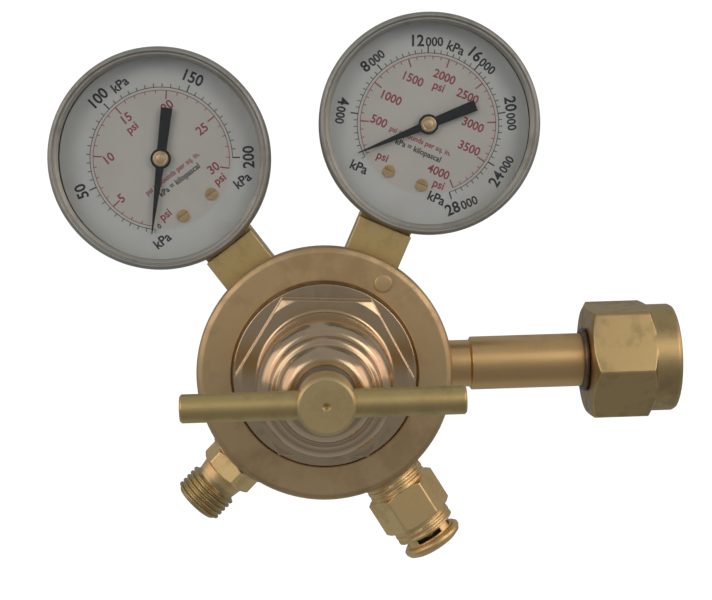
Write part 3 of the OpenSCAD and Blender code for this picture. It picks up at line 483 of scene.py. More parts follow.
@dataclass(frozen=True)
class Metal:
    """A bare metal finish.

    Attributes:
        name: Name of the finish.
        colour: Clean metal.
        tarnish: Metal in broad dull patches.
        worn: Lighter metal on edges, hollow ones too: partly rubbed wear, partly painted
            highlight.
        roughness: Middle roughness.
        grain: How the surface was worked.
        relief: Depth of the grain, in millimetres.
        edge: Radius that edges are softened to, in millimetres.
        patches: Size of the tarnish patches, in millimetres.
        spread: How much roughness varies.
        cover: Share of the surface that is tarnished.
        streaks: How strongly the grain shows in the colour.
        bore: Radius inside which the colour is painted over, in millimetres: painted shade in a
            vent, painted light in a bright bore.
        oxide: The colour painted there: dark painted shade by default, pale painted light and
            reflection in the bonnet.
        stained_from: Height along the axis beyond which the metal is stained, in millimetres.
        stain: Its colour there.
    """

    name: str
    colour: RGB
    tarnish: RGB
    worn: RGB
    roughness: float
    grain: Grain
    relief: float = 0.01
    edge: float = 0.35
    patches: float = 14.0
    spread: float = 0.08
    cover: float = 0.5
    streaks: float = 0.5
    bore: float = 0.0
    oxide: RGB = (0.13, 0.11, 0.09)
    stained_from: float = 0.0
    stain: RGB = (0.64, 0.51, 0.255)

    def _grain_height(self, graph: ShaderGraph, at: Wire) -> Wire:
        """Height of the worked surface, 0 to 1.

        Args:
            graph: The graph.
            at: Local coordinates.

        Returns:
            The height.
        """
        if self.grain is Grain.CAST:
            lumps = graph.noise(at, CAST_LUMPS)
            return lumps * LUMP_SHARE + graph.noise(at, FINE_GRAIN) * (1.0 - LUMP_SHARE)
        if self.grain is Grain.SINTERED:
            values = {"Vector": at, "Scale": SINTER_SCALE}
            return graph.node("ShaderNodeTexVoronoi", {}, values, "Distance")
        if self.grain is Grain.PLATED:
            return graph.noise(at, PLATING)
        if self.grain is Grain.DRAWN:
            lines = graph.vector("MULTIPLY", at, (1.0, 1.0, DRAWN_STRETCH))
            return graph.noise(lines, DRAWN_LINES)
        values = {"X": graph.radius(at), "Y": graph.along(at, "Z")}
        rings = graph.node("ShaderNodeCombineXYZ", {}, values)
        return graph.noise(rings, POLISH_RINGS if self.grain is Grain.POLISHED else TOOL_RINGS)

    def make(self, place: Place, suffix: str = "") -> bpy.types.Material:
        """Makes the material in a place's frame.

        Args:
            place: Frame that the grain follows.
            suffix: Added to the material's name.

        Returns:
            The material.
        """
        graph = ShaderGraph(self.name + suffix)
        at = graph.local(place)
        waves = 1.0 / (self.patches * MM)
        broad = graph.noise(at, Noise(waves, 4.0, 0.62))
        mid = graph.noise(at, Noise(4.2 * waves, 3.0, 0.6))
        dull = broad * BROAD_SHARE + mid * (1.0 - BROAD_SHARE)
        dull = dull.between(*(limit - COVER_SHIFT * self.cover for limit in TARNISH))
        colour = graph.mix(self.colour, self.tarnish, dull)
        grain = self._grain_height(graph, at)
        streak = tuple(c * STREAK_SHADE for c in self.colour)
        colour = graph.mix(colour, streak, grain.between(*STREAKS, 0.0, self.streaks))
        rounded = graph.rounded(self.edge * MM)
        edge = graph.edge(rounded)
        # Edges, hollow ones too, are lightened: partly wear, partly painted highlight
        colour = graph.mix(colour, self.worn, edge * EDGE_WEAR_AND_GLINT)
        rough = self.roughness - self.spread / 2 + dull * self.spread + (mid - 0.5) * self.spread
        rough = rough + (0.5 - grain) * (self.spread / 2) - edge * (self.roughness * EDGE_POLISH)
        # Inside the bore radius the colour is painted over: painted shade in the relief valve's
        # vent, painted light in the bonnet's bore
        if self.bore:
            fade = ((self.bore - BORE_PAINT_FADE) * MM, (self.bore + BORE_PAINT_FADE) * MM)
            bore_paint_mask = graph.radius(at).between(*fade, 1.0, 0.0)
            colour = graph.mix(colour, self.oxide, bore_paint_mask)
            rough = rough + bore_paint_mask * BORE_PAINT_ROUGH
        if self.stained_from:
            past = graph.along(at, "Z") / MM - (self.stained_from + (mid - 0.5) * STAIN_DRIFT)
            colour = graph.mix(colour, self.stain, past.between(-STAIN_FADE, STAIN_FADE))
        normal = graph.bump(grain, self.relief * MM, rounded)
        graph.principled(Base_Color=colour, Metallic=1.0, Roughness=rough, Normal=normal)
        return graph.material


CAST_BRASS = Metal(
    "forged brass", (0.70, 0.51, 0.27), (0.56, 0.41, 0.22), (0.84, 0.62, 0.35), 0.54, Grain.CAST,
    relief=0.05, edge=0.8, patches=26.0, spread=0.10,
)
# The bonnet's bore is painted pale blue-grey: painted light and reflection against the shade of
# the counterbore
POLISHED_BRASS = Metal(
    "polished brass", (0.68, 0.50, 0.305), (0.55, 0.41, 0.26), (0.94, 0.69, 0.45), 0.23,
    Grain.POLISHED, relief=0.004, edge=0.5, patches=20.0, spread=0.07, cover=0.35,
    bore=8.75, oxide=(0.55, 0.54, 0.56),
)
SATIN_BAR = Metal(
    "satin brass bar", (0.71, 0.53, 0.225), (0.58, 0.44, 0.195), (0.84, 0.65, 0.30), 0.46,
    Grain.DRAWN, relief=0.008, edge=0.4, patches=16.0,
)
TURNED_BRASS = Metal(
    "turned brass", (0.66, 0.47, 0.19), (0.48, 0.35, 0.145), (0.86, 0.63, 0.29), 0.34,
    Grain.TURNED, relief=0.012, edge=0.25, patches=10.0,
)
# Lighter than the other brass: painted highlight standing in for the lamps' glint on the
# fittings' hex facets
LIT_FITTING_BRASS = Metal(
    "machined fitting brass", (0.99, 0.71, 0.325), (0.87, 0.62, 0.28), (1.0, 0.79, 0.43), 0.42,
    Grain.TURNED, relief=0.003, edge=0.6, patches=8.0, streaks=0.2,
)
HEAD_BRASS = Metal(
    "screw head brass", (0.72, 0.55, 0.27), (0.60, 0.46, 0.225), (0.84, 0.65, 0.34), 0.52,
    Grain.TURNED, relief=0.010, edge=0.3, patches=9.0,
)
TUBE_BRASS = Metal(
    "drawn brass tube", (0.86, 0.56, 0.25), (0.70, 0.47, 0.21), (0.92, 0.66, 0.32), 0.40,
    Grain.DRAWN, relief=0.006, edge=0.3, patches=22.0, cover=0.4,
)
NUT_BRASS = Metal(
    "handled nut brass", (0.62, 0.45, 0.205), (0.49, 0.365, 0.17), (0.84, 0.61, 0.30), 0.44,
    Grain.DRAWN, relief=0.010, edge=0.7, patches=15.0,
)
# Brass colour lightened by about a tenth as painted light, standing in for the light that falls
# on the stems
LIT_STEM_BRASS = Metal(
    "stem bar brass", (0.77, 0.58, 0.25), (0.63, 0.48, 0.205), (0.90, 0.70, 0.34), 0.48,
    Grain.DRAWN, relief=0.014, edge=0.45, patches=9.0,
)
BRIGHT_BRASS = Metal(
    "bright turned brass", (0.92, 0.68, 0.40), (0.76, 0.54, 0.30), (0.98, 0.80, 0.55), 0.42,
    Grain.TURNED, relief=0.006, edge=0.2, patches=3.0,
)
SCREW_BRASS = replace(
    BRIGHT_BRASS, name="dial screw brass", colour=(0.80, 0.56, 0.28), tarnish=(0.64, 0.44, 0.22)
)
CASE_STEEL = Metal(
    "brushed case steel", (0.475, 0.47, 0.415), (0.40, 0.39, 0.34), (0.56, 0.55, 0.49), 0.62,
    Grain.TURNED, relief=0.006, edge=0.3, patches=18.0, cover=0.4,
)
RING_STEEL = Metal(
    "stained ring wire", (0.23, 0.17, 0.135), (0.13, 0.10, 0.09), (0.42, 0.33, 0.27), 0.42,
    Grain.PLATED, patches=3.0,
)
ZINC_STEEL = Metal(
    "zinc plate", (0.62, 0.62, 0.61), (0.50, 0.50, 0.50), (0.78, 0.78, 0.78), 0.32,
    Grain.PLATED, patches=8.0,
)
BRIGHT_STEEL = Metal(
    "ground steel", (0.70, 0.70, 0.71), (0.58, 0.58, 0.60), (0.85, 0.85, 0.86), 0.15,
    Grain.TURNED, relief=0.003,
)
SPRING_STEEL = Metal(
    "oiled spring wire", (0.38, 0.38, 0.40), (0.24, 0.23, 0.22), (0.55, 0.55, 0.57), 0.34,
    Grain.PLATED, patches=5.0,
)
SINTERED_BRONZE = Metal(
    "sintered bronze", (0.52, 0.36, 0.21), (0.40, 0.27, 0.16), (0.66, 0.48, 0.30), 0.5,
    Grain.SINTERED, relief=0.05, patches=6.0,
)


@dataclass(frozen=True)
class Moulding:
    """A moulded rubber or plastic finish.

    Attributes:
        name: Name of the finish.
        colour: Main colour.
        shade: Colour of scuffed or dusty patches.
        roughness: Middle roughness.
        relief: Depth of the moulded texture, in millimetres.
        spread: How much roughness varies.
    """

    name: str
    colour: RGB
    shade: RGB
    roughness: float
    relief: float = 0.01
    spread: float = 0.2

    def make(self, place: Place, suffix: str = "") -> bpy.types.Material:
        """Makes the material.

        Args:
            place: Frame that the pattern follows.
            suffix: Added to the material's name.

        Returns:
            The material.
        """
        graph = ShaderGraph(self.name + suffix)
        at = graph.local(place)
        broad = graph.noise(at, Noise(160.0, 4.0, 0.6))
        colour = graph.mix(self.colour, self.shade, broad.between(0.45, 0.75))
        normal = graph.bump(graph.noise(at, FINE_GRAIN), self.relief * MM)
        rough = self.roughness + (broad - 0.5) * self.spread
        graph.principled(Base_Color=colour, Roughness=rough, Normal=normal)
        return graph.material


BLACK_RUBBER = Moulding("black rubber", (0.022, 0.021, 0.02), (0.06, 0.055, 0.05), 0.6)
SEAT_PLASTIC = Moulding("seat plastic", (0.78, 0.77, 0.72), (0.66, 0.64, 0.58), 0.4)
POINTER_BLACK = Moulding(
    "pointer black", (0.012, 0.012, 0.013), (0.022, 0.022, 0.022), 0.42, relief=0.004
)


@dataclass(frozen=True)
class Ink:
    """Printing ink on a dial.

    Attributes:
        name: Name of the ink.
        colour: Its colour.
        thin: How much brighter it is where it lies thin.
        roughness: Its roughness.
    """

    name: str
    colour: RGB
    thin: float = 0.10
    roughness: float = 0.55

    def make(self, suffix: str = "") -> bpy.types.Material:
        """Makes the ink, a little uneven as printed.

        Args:
            suffix: Added to the material's name.

        Returns:
            The material.
        """
        graph = ShaderGraph(self.name + suffix)
        uneven = graph.noise(graph.plain(), Noise(1800.0, 3.0, 0.6))
        pale = tuple(c + self.thin for c in self.colour)
        colour = graph.mix(self.colour, pale, uneven.between(0.4, 0.8))
        graph.principled(Base_Color=colour, Roughness=self.roughness)
        return graph.material


BLACK_INK = Ink("black dial ink", (0.035, 0.036, 0.04))
RED_INK = Ink("red dial ink", (0.50, 0.085, 0.10))


@dataclass(frozen=True)
class Enamel:
    """The printed enamel ground of a dial.

    Attributes:
        name: Name of the finish.
        inner: Colour inside the scale's circle.
        outer: Colour outside it: bluer as printed, and lighter than the inner as painted light
            against the rim's shadow.
        circle: Radius of the circle, in millimetres.
        blend: Half the width over which the two colours meet.
        relief: Depth of the specks.
    """

    name: str
    inner: RGB
    outer: RGB
    circle: float
    blend: float = 0.6
    relief: float = 0.006

    def make(self, place: Place, suffix: str = "") -> bpy.types.Material:
        """Makes the enamel in a gauge's frame.

        Args:
            place: The gauge's place.
            suffix: Added to the material's name.

        Returns:
            The material.
        """
        graph = ShaderGraph(self.name + suffix)
        at = graph.local(place)
        fade = ((self.circle - self.blend) * MM, (self.circle + self.blend) * MM)
        cloud = graph.noise(at, Noise(60.0, 3.0, 0.6))
        speck = graph.noise(at, Noise(1500.0, 3.0, 0.7))
        # The outer ground is lighter than the inner: painted light against the rim's shadow, over
        # a real bluer tint
        ground = graph.mix(self.inner, self.outer, graph.radius(at).between(*fade))
        dusty = tuple(c * 0.86 for c in self.inner)
        ground = graph.mix(ground, dusty, cloud.between(0.4, 0.8, 0.0, 0.5))
        dark = tuple(c * 0.8 for c in self.outer)
        ground = graph.mix(ground, dark, speck.between(0.62, 0.8, 0.0, 0.35))
        normal = graph.bump(speck, self.relief * MM)
        graph.principled(Base_Color=ground, Roughness=0.42 + speck * 0.12, Normal=normal)
        return graph.material


# Outer ground near white: painted light that offsets the shadow of the deep rim
DIAL_ENAMEL = Enamel("dial enamel", (0.93, 0.885, 0.815), (0.98, 0.985, 0.95), 21.6)


@dataclass(frozen=True)
class ClearWindow:
    """The gauges' clear moulded window.

    Attributes:
        name: Name of the finish.
        tint: Colour that it lets through.
        gloss: Colour of its reflections.
        index: Refractive index that sets how much it reflects.
        shine: Share of that reflection that is kept.
    """

    name: str
    tint: RGB
    gloss: RGB = (0.9, 0.92, 0.92)
    index: float = 1.40
    shine: float = 0.8

    def make(self, place: Place, suffix: str = "") -> bpy.types.Material:
        """Makes the window: clear, with the gloss of its surface over it.

        Args:
            place: The gauge's place.
            suffix: Added to the material's name.

        Returns:
            The material.
        """
        graph = ShaderGraph(self.name + suffix)
        smear = graph.noise(graph.local(place), Noise(120.0, 4.0, 0.6))
        see = graph.node("ShaderNodeBsdfTransparent", {}, {"Color": self.tint})
        values = {"Color": self.gloss, "Roughness": smear.between(0.45, 0.8, 0.04, 0.16)}
        gloss = graph.node("ShaderNodeBsdfGlossy", {}, values)
        share = graph.node("ShaderNodeFresnel", {}, {"IOR": self.index}) * self.shine
        graph.surface(graph.node("ShaderNodeMixShader", {}, {0: share, 1: see, 2: gloss}))
        return graph.material


CLEAR_WINDOW = ClearWindow("clear window", (0.99, 0.995, 0.99))


# Modelling by hand
class Bench:
    """Steps of modelling that several sub-assemblies use."""

    @staticmethod
    def clear() -> None:
        """Leaves edit mode and deselects everything."""
        if bpy.context.object is not None and bpy.context.object.mode != "OBJECT":
            bpy.ops.object.mode_set(mode="OBJECT")
        bpy.ops.object.select_all(action="DESELECT")

    @staticmethod
    def pick(*objects: bpy.types.Object) -> None:
        """Selects these objects alone and makes the first active."""
        Bench.clear()
        for piece in objects:
            piece.select_set(True)
        bpy.context.view_layer.objects.active = objects[0]

    @staticmethod
    def settle(piece: bpy.types.Object, matrix: Matrix) -> None:
        """Puts a place into a piece's mesh and leaves its object at the origin.

        Args:
            piece: The piece.
            matrix: Takes the mesh to the row frame.
        """
        piece.data.transform(matrix @ piece.matrix_world)
        piece.matrix_world = Matrix.Identity(4)

    @staticmethod
    def join(name: str, pieces: list[bpy.types.Object]) -> bpy.types.Object:
        """Joins pieces into one.

        Args:
            name: Name of the joined piece.
            pieces: What is joined.

        Returns:
            The joined piece.
        """
        Bench.pick(*pieces)
        if len(pieces) > 1:
            bpy.ops.object.join()
        whole = bpy.context.view_layer.objects.active
        whole.name = whole.data.name = name
        return whole

    @staticmethod
    def copies(piece: bpy.types.Object, matrices: list[Matrix]) -> list[bpy.types.Object]:
        """Copies a piece, each copy with its own mesh, and removes the pattern.

        Args:
            piece: What is copied.
            matrices: Where each copy goes.

        Returns:
            The copies.
        """
        made = []
        for matrix in matrices:
            twin = piece.copy()
            twin.data = piece.data.copy()
            bpy.context.collection.objects.link(twin)
            twin.data.transform(matrix)
            made.append(twin)
        bpy.data.objects.remove(piece)
        return made

    @staticmethod
    def turn(name: str, outline: list[Point2], steps: int) -> bpy.types.Object:
        """Turns a closed outline about the Z axis.

        Args:
            name: Name of the piece.
            outline: Radius and height of each corner, in order round the section.
            steps: Facets round the axis.

        Returns:
            The turned piece, in its own frame.
        """
        Bench.clear()
        bpy.ops.mesh.primitive_circle_add(vertices=len(outline), radius=1.0, fill_type="NOTHING")
        piece = bpy.context.object
        piece.name = piece.data.name = name
        for corner, (radius, height) in zip(piece.data.vertices, outline):
            corner.co = (radius, 0.0, height)
        bpy.ops.object.mode_set(mode="EDIT")
        bpy.ops.mesh.select_all(action="SELECT")
        bpy.ops.mesh.spin(steps=steps, angle=math.tau, center=(0, 0, 0), axis=(0, 0, 1))
        bpy.ops.object.mode_set(mode="OBJECT")
        Bench.heal()
        bpy.ops.object.shade_smooth_by_angle(angle=CREASE)
        return piece

    @staticmethod
    def heal() -> None:
        """Welds the close points of the active piece and turns its faces outward."""
        bpy.ops.object.mode_set(mode="EDIT")
        bpy.ops.mesh.select_all(action="SELECT")
        bpy.ops.mesh.remove_doubles(threshold=WELD)
        bpy.ops.mesh.normals_make_consistent(inside=False)
        bpy.ops.object.mode_set(mode="OBJECT")

    @staticmethod
    def dress(
        piece: bpy.types.Object, material: bpy.types.Material, body: str, slot: str
    ) -> None:
        """Gives a finished piece its material and its body.

        Args:
            piece: The piece.
            material: Its material.
            body: The body that it rides on.
            slot: Not used.
        """
        piece.data.materials.clear()
        piece.data.materials.append(material)
        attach(piece, body)
        LOG.info("%s on %s, %d faces", piece.name, body, len(piece.data.polygons))


# Gauges
@dataclass(frozen=True)
class Word:
    """One piece of dial lettering.

    Attributes:
        parts: Runs of text with their heights as a share of the word's height.
        x: Middle of the word, to the dial's right, in millimetres.
        y: Middle of the word, to the dial's top.
        turn: Anticlockwise turn, in degrees.
        height: Height of its capitals and figures, in millimetres.
    """

    parts: Runs
    x: float
    y: float
    turn: float
    height: float


@dataclass(frozen=True)
class Scale:
    """One printed scale of a dial.

    Attributes:
        zero_value: Value at zero_angle.
        zero_angle: Its polar angle, anticlockwise from the dial's right, in degrees.
        per_unit: Degrees clockwise for each unit.
        last: Highest value.
        minor: Units between small ticks.
        major: Units between long ticks.
        circle: Radius that the ticks stand on, in millimetres.
        minor_end: Radius where small ticks end.
        major_end: Radius where long ticks end.
        line: Width of the circle's line.
        minor_line: Width of a small tick.
        major_line: Width of a long tick.
        step: Length of the circle's short bars, in degrees.
        lap: Length of each as a multiple of its step, so that they overlap.
    """

    zero_value: float
    zero_angle: float
    per_unit: float
    last: float
    minor: float
    major: float
    circle: float
    minor_end: float
    major_end: float
    line: float = 0.20
    minor_line: float = 0.24
    major_line: float = 0.40
    step: float = 2.0
    lap: float = 1.05

    def angle(self, value: float) -> float:
        """Polar angle of a value, in degrees."""
        return self.zero_angle - (value - self.zero_value) * self.per_unit

    def bars(self) -> list[tuple[float, float, float, float]]:
        """Angle, two radii and breadth of each bar: the ticks, then the circle's short bars."""
        marks = []
        for i in range(1, round(self.last / self.minor) + 1):
            value = self.minor * i
            long = value % self.major == 0
            end = self.major_end if long else self.minor_end
            breadth = self.major_line if long else self.minor_line
            marks.append((self.angle(value), *sorted((self.circle, end)), breadth))
        sweep = (self.last - self.minor) * self.per_unit
        steps = round(sweep / self.step)
        breadth = self.lap * self.circle * math.radians(sweep / steps)
        near, far = self.circle - self.line / 2, self.circle + self.line / 2
        for i in range(steps):
            marks.append((self.angle(self.minor) - (i + 0.5) * sweep / steps, near, far, breadth))
        return marks


def level_word(text: str, x: float, y: float, height: float) -> Word:
    """A level word in one size."""
    return Word(((text, 1.0),), x, y, 0.0, height)


def rim_word(parts: Runs, angle: float, radius: float, height: float) -> Word:
    """A word that follows the rim, its top outward above the middle and inward below it.

    Args:
        parts: Runs of text.
        angle: Polar angle of its middle, in degrees.
        radius: Distance of its middle from the centre, in millimetres.
        height: Height of its figures.

    Returns:
        The placed word.
    """
    a = math.radians(angle)
    turn = angle - 90 if math.sin(a) >= 0 else angle + 90
    return Word(parts, radius * math.cos(a), radius * math.sin(a), turn, height)


# What the two units stand for, printed on both dials
PSI_LEGEND = level_word("psi = pounds per sq. in.", 0.0, -5.5, 1.6)
KPA_LEGEND = level_word("kPa = kilopascal", 0.5, -8.4, 1.75)
# Circle, end of the small ticks and end of the long ticks, of the outer and the inner scale
BLACK_RADII = (21.8, 22.9, 24.1)
RED_RADII = (20.85, 19.9, 18.2)
# Heights of the outer figures and of both scales' unit symbols, and of the three noughts of a
# thousand as a share of their figure
BLACK_FIGURE = 3.4
BLACK_UNIT = 2.9
RED_UNIT = 2.5
NOUGHTS = 0.78
# Facets round a rim and round a hub
RIM_STEPS = 144
HUB_STEPS = 48
# The lettering: steps in a curve, thickening, height of a capital and gap between runs, all but
# the first as shares of the type's size
CURVE_STEPS = 3
THICKENING = 0.022
CAPITAL = 0.70
RUN_GAP = 0.10


@dataclass
class Gauge:
    """One pressure gauge: its printed dial, rolled rim and finishes.

    Attributes:
        name: "low" or "high".
        angle: Turn of the gauge, clockwise from straight up, in degrees.
        black_scale: Outer scale.
        red_scale: Inner scale.
        black_words: Outer numerals and units.
        red_words: Inner numerals and units.
        dial_top: Height of the dial's face in the gauge's frame, in millimetres.
        ink_t: Thickness of the ink.
        ink_lift: How far the ink stands off the face, so that the two never coincide.
        condensed: Width of the lettering as a share of its usual width.
        rim: Section of the rolled rim: the radius and height of its corners.
        hub: Section of the pointer's hub.
    """

    name: str
    angle: float
    black_scale: Scale
    red_scale: Scale
    black_words: list[Word]
    red_words: list[Word]
    dial_top: float = 3.0
    ink_t: float = 0.02
    ink_lift: float = 0.005
    condensed: float = 0.95
    rim: list[Point2] = field(default_factory=lambda: [
        (32.45, 3.5), (33.3, 3.5), (33.6, 3.7), (33.7, 4.1), (33.7, 9.2), (33.64, 9.9),
        (33.48, 10.5), (33.2, 11.0), (32.88, 11.35), (32.55, 11.5), (32.27, 11.44), (32.1, 11.2),
        (32.02, 10.86), (31.84, 10.72), (31.62, 10.84), (31.42, 10.86), (31.1, 10.66),
        (30.75, 10.34), (30.5, 10.08), (30.4, 9.98), (30.4, 9.9), (32.45, 9.9),
    ])
    hub: list[Point2] = field(default_factory=lambda: [
        (0.0, 6.0), (2.25, 6.0), (2.33, 6.15), (2.2, 6.32), (1.85, 6.38), (1.72, 6.22),
        (1.5, 6.22), (1.38, 6.38), (0.7, 6.5), (0.0, 6.52),
    ])

    @property
    def place(self) -> Place:
        """The gauge's place."""
        return gauge_place(self.angle)

    def _bars(self, scale: Scale) -> list[bpy.types.Object]:
        """A scale's ticks and circle: one bar modelled once, then copied.

        Args:
            scale: The scale.

        Returns:
            The bars, in the gauge's frame.
        """
        Bench.clear()
        bpy.ops.mesh.primitive_cube_add(size=1.0, location=(0.5, 0, 0.5))
        bar = bpy.context.object
        Bench.settle(bar, Matrix.Identity(4))
        spots = []
        for angle, near, far, breadth in scale.bars():
            size = Matrix.Diagonal((far - near, breadth, self.ink_t, 1.0))
            lift = Matrix.Translation((near, 0, self.dial_top + self.ink_lift))
            spots.append(Matrix.Rotation(math.radians(angle), 4, "Z") @ lift @ size)
        return Bench.copies(bar, spots)

    def _letters(self, word: Word) -> bpy.types.Object:
        """One word as a thin printed solid.

        Args:
            word: The word.

        Returns:
            The word's mesh, in the gauge's frame.
        """
        runs = []
        reach = 0.0
        for text, share in word.parts:
            Bench.clear()
            bpy.ops.object.text_add(location=(0, 0, 0))
            run = bpy.context.object
            run.data.body = text
            run.data.resolution_u = CURVE_STEPS
            run.data.offset = THICKENING
            run.data.extrude = 0.5
            bpy.ops.object.convert(target="MESH")
            run = bpy.context.object
            size = word.height * share / CAPITAL
            run.data.transform(Matrix.Diagonal((size * self.condensed, size, self.ink_t, 1.0)))
            xs = [v.co.x for v in run.data.vertices]
            run.data.transform(Matrix.Translation((reach - min(xs), 0, self.ink_t / 2)))
            reach += max(xs) - min(xs) + RUN_GAP * size
            runs.append(run)
        whole = Bench.join("word", runs)
        Bench.heal()
        middle = Matrix.Translation((-reach / 2, -word.height / 2, 0))
        spot = Matrix.Translation((word.x, word.y, self.dial_top + self.ink_lift))
        whole.data.transform(spot @ Matrix.Rotation(math.radians(word.turn), 4, "Z") @ middle)
        return whole

    def _print(self, ink: Ink, scale: Scale, words: list[Word]) -> None:
        """Prints everything of one colour.

        Args:
            ink: The ink.
            scale: The scale in that colour.
            words: The words in that colour.
        """
        pieces = [*self._bars(scale), *(self._letters(w) for w in words)]
        for piece in pieces:
            piece.data.materials.clear()
        whole = Bench.join(f"{self.name}_{ink.name.split()[0]}_print", pieces)
        Bench.settle(whole, self.place.matrix())
        Bench.dress(whole, ink.make(f" {self.name}"), "regulator", f"{self.name}_dial_print")

    def build(self, nodes: dict[str, bpy.types.Object]) -> None:
        """Prints the dial, rolls the rim and dresses the gauge's solids.

        Args:
            nodes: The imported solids.
        """
        self._print(BLACK_INK, self.black_scale, self.black_words)
        self._print(RED_INK, self.red_scale, self.red_words)
        name, place = self.name, self.place
        rim = Bench.turn(f"{name}_rim", self.rim, RIM_STEPS)
        Bench.settle(rim, place.matrix())
        Bench.dress(rim, CASE_STEEL.make(place, f" rim {name}"), "regulator", "case_steel")
        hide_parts(f"{name}_bezel")
        steel = CASE_STEEL.make(place, f" case {name}")
        turned = TURNED_BRASS.make(place, f" movement {name}")
        bright = BRIGHT_BRASS.make(place, f" bright {name}")
        hub = Bench.turn(f"{name}_hub", self.hub, HUB_STEPS)
        Bench.settle(hub, place.matrix())
        Bench.dress(hub, bright, f"{name}_pointer", "bright_brass")
        finishes = {
            "case": steel, "bezel": steel, "pinion": bright, "bourdon_tube": turned,
            "movement_frame": turned, "sector_gear": turned, "link": turned,
            "lens": CLEAR_WINDOW.make(place, f" {name}"),
            "dial": DIAL_ENAMEL.make(place, f" {name}"),
            "dial_screws": SCREW_BRASS.make(place, f" {name}"),
            "stem": LIT_STEM_BRASS.make(port_place(self.angle, -GAUGE_SETBACK), f" {name}"),
            "hairspring": SPRING_STEEL.make(place, f" hair {name}"),
            "pointer": POINTER_BLACK.make(place, f" {name}"),
        }
        for part, finish in finishes.items():
            refinish(nodes[f"{name}_{part}"], finish)


def refinish(node: bpy.types.Object, material: bpy.types.Material) -> None:
    """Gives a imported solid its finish.

    Args:
        node: The solid.
        material: The finish.
    """
    node.data.materials.clear()
    node.data.materials.append(material)
    LOG.info("%s finished in %s", node.name, material.name)


def low_gauge() -> Gauge:
    """The delivery gauge: 0 to 200 kPa and 0 to 30 psi."""
    black = Scale(50, 165.9, 67.5 / 50, 200, 5, 50, *BLACK_RADII)
    red = Scale(5, 186.9, 9.30, 30, 1, 5, *RED_RADII)
    radius = 26.6
    outer = [
        rim_word(((str(value), 1.0),), black.angle(value) + shift, radius, BLACK_FIGURE)
        for value, shift in ((50, -2.0), (100, -1.1), (150, -1.4), (200, 0.6))
    ]
    spots = ((4.2, 25.5), (-15.1, -19.8), (15.8, -20.3))
    outer += [level_word("kPa", x, y, BLACK_UNIT) for x, y in spots]
    outer.append(level_word("0", -13.2, -15.8, 1.5))
    spots = {
        5: (-17.0, -1.9), 10: (-12.3, 10.0), 15: (-0.5, 16.3), 20: (11.6, 11.6),
        25: (15.6, -0.4), 30: (11.1, -11.9),
    }
    inner = [level_word(str(value), x, y, 2.7) for value, (x, y) in spots.items()]
    spots = ((-9.5, -14.1), (10.5, -15.7), (-1.0, 13.0))
    inner += [level_word("psi", x, y, RED_UNIT) for x, y in spots]
    return Gauge("low", LOW_GAUGE_ANGLE, black, red, outer + [KPA_LEGEND], inner + [PSI_LEGEND])


def high_gauge() -> Gauge:
    """The cylinder gauge: 0 to 28000 kPa and 0 to 4000 psi."""
    black = Scale(4000, 194.4, 40.6 / 4000, 28000, 500, 4000, *BLACK_RADII)
    red = Scale(500, 200.0, 0.07, 4000, 100, 500, *RED_RADII)
    outer = []
    shifts = (0.0, 0.0, 0.0, -0.8, -1.8, 0.0, 5.5)
    radii = (26.7, 26.1, 25.6, 25.7, 26.0, 26.7, 26.7)
    for step, (shift, radius) in enumerate(zip(shifts, radii), start=1):
        parts = ((str(4 * step), 1.0), ("000", NOUGHTS))
        angle = black.angle(4000 * step) + shift
        outer.append(rim_word(parts, angle, radius, BLACK_FIGURE))
    spots = ((-1.1, 24.8), (-14.2, -20.2), (11.6, -19.7))
    outer += [level_word("kPa", x, y, BLACK_UNIT) for x, y in spots]
    spots = {
        500: (-14.1, -4.9), 1000: (-13.3, 3.1), 1500: (-9.4, 11.0), 2000: (-0.9, 15.4),
        2500: (8.0, 12.8), 3000: (13.0, 5.4), 3500: (14.8, -1.6), 4000: (8.9, -12.0),
    }
    inner = [level_word(str(value), x, y, 2.6) for value, (x, y) in spots.items()]
    spots = ((-1.3, 12.0), (-8.8, -14.4), (10.5, -15.5))
    inner += [level_word("psi", x, y, RED_UNIT) for x, y in spots]
    return Gauge("high", HIGH_GAUGE_ANGLE, black, red, outer + [KPA_LEGEND], inner + [PSI_LEGEND])


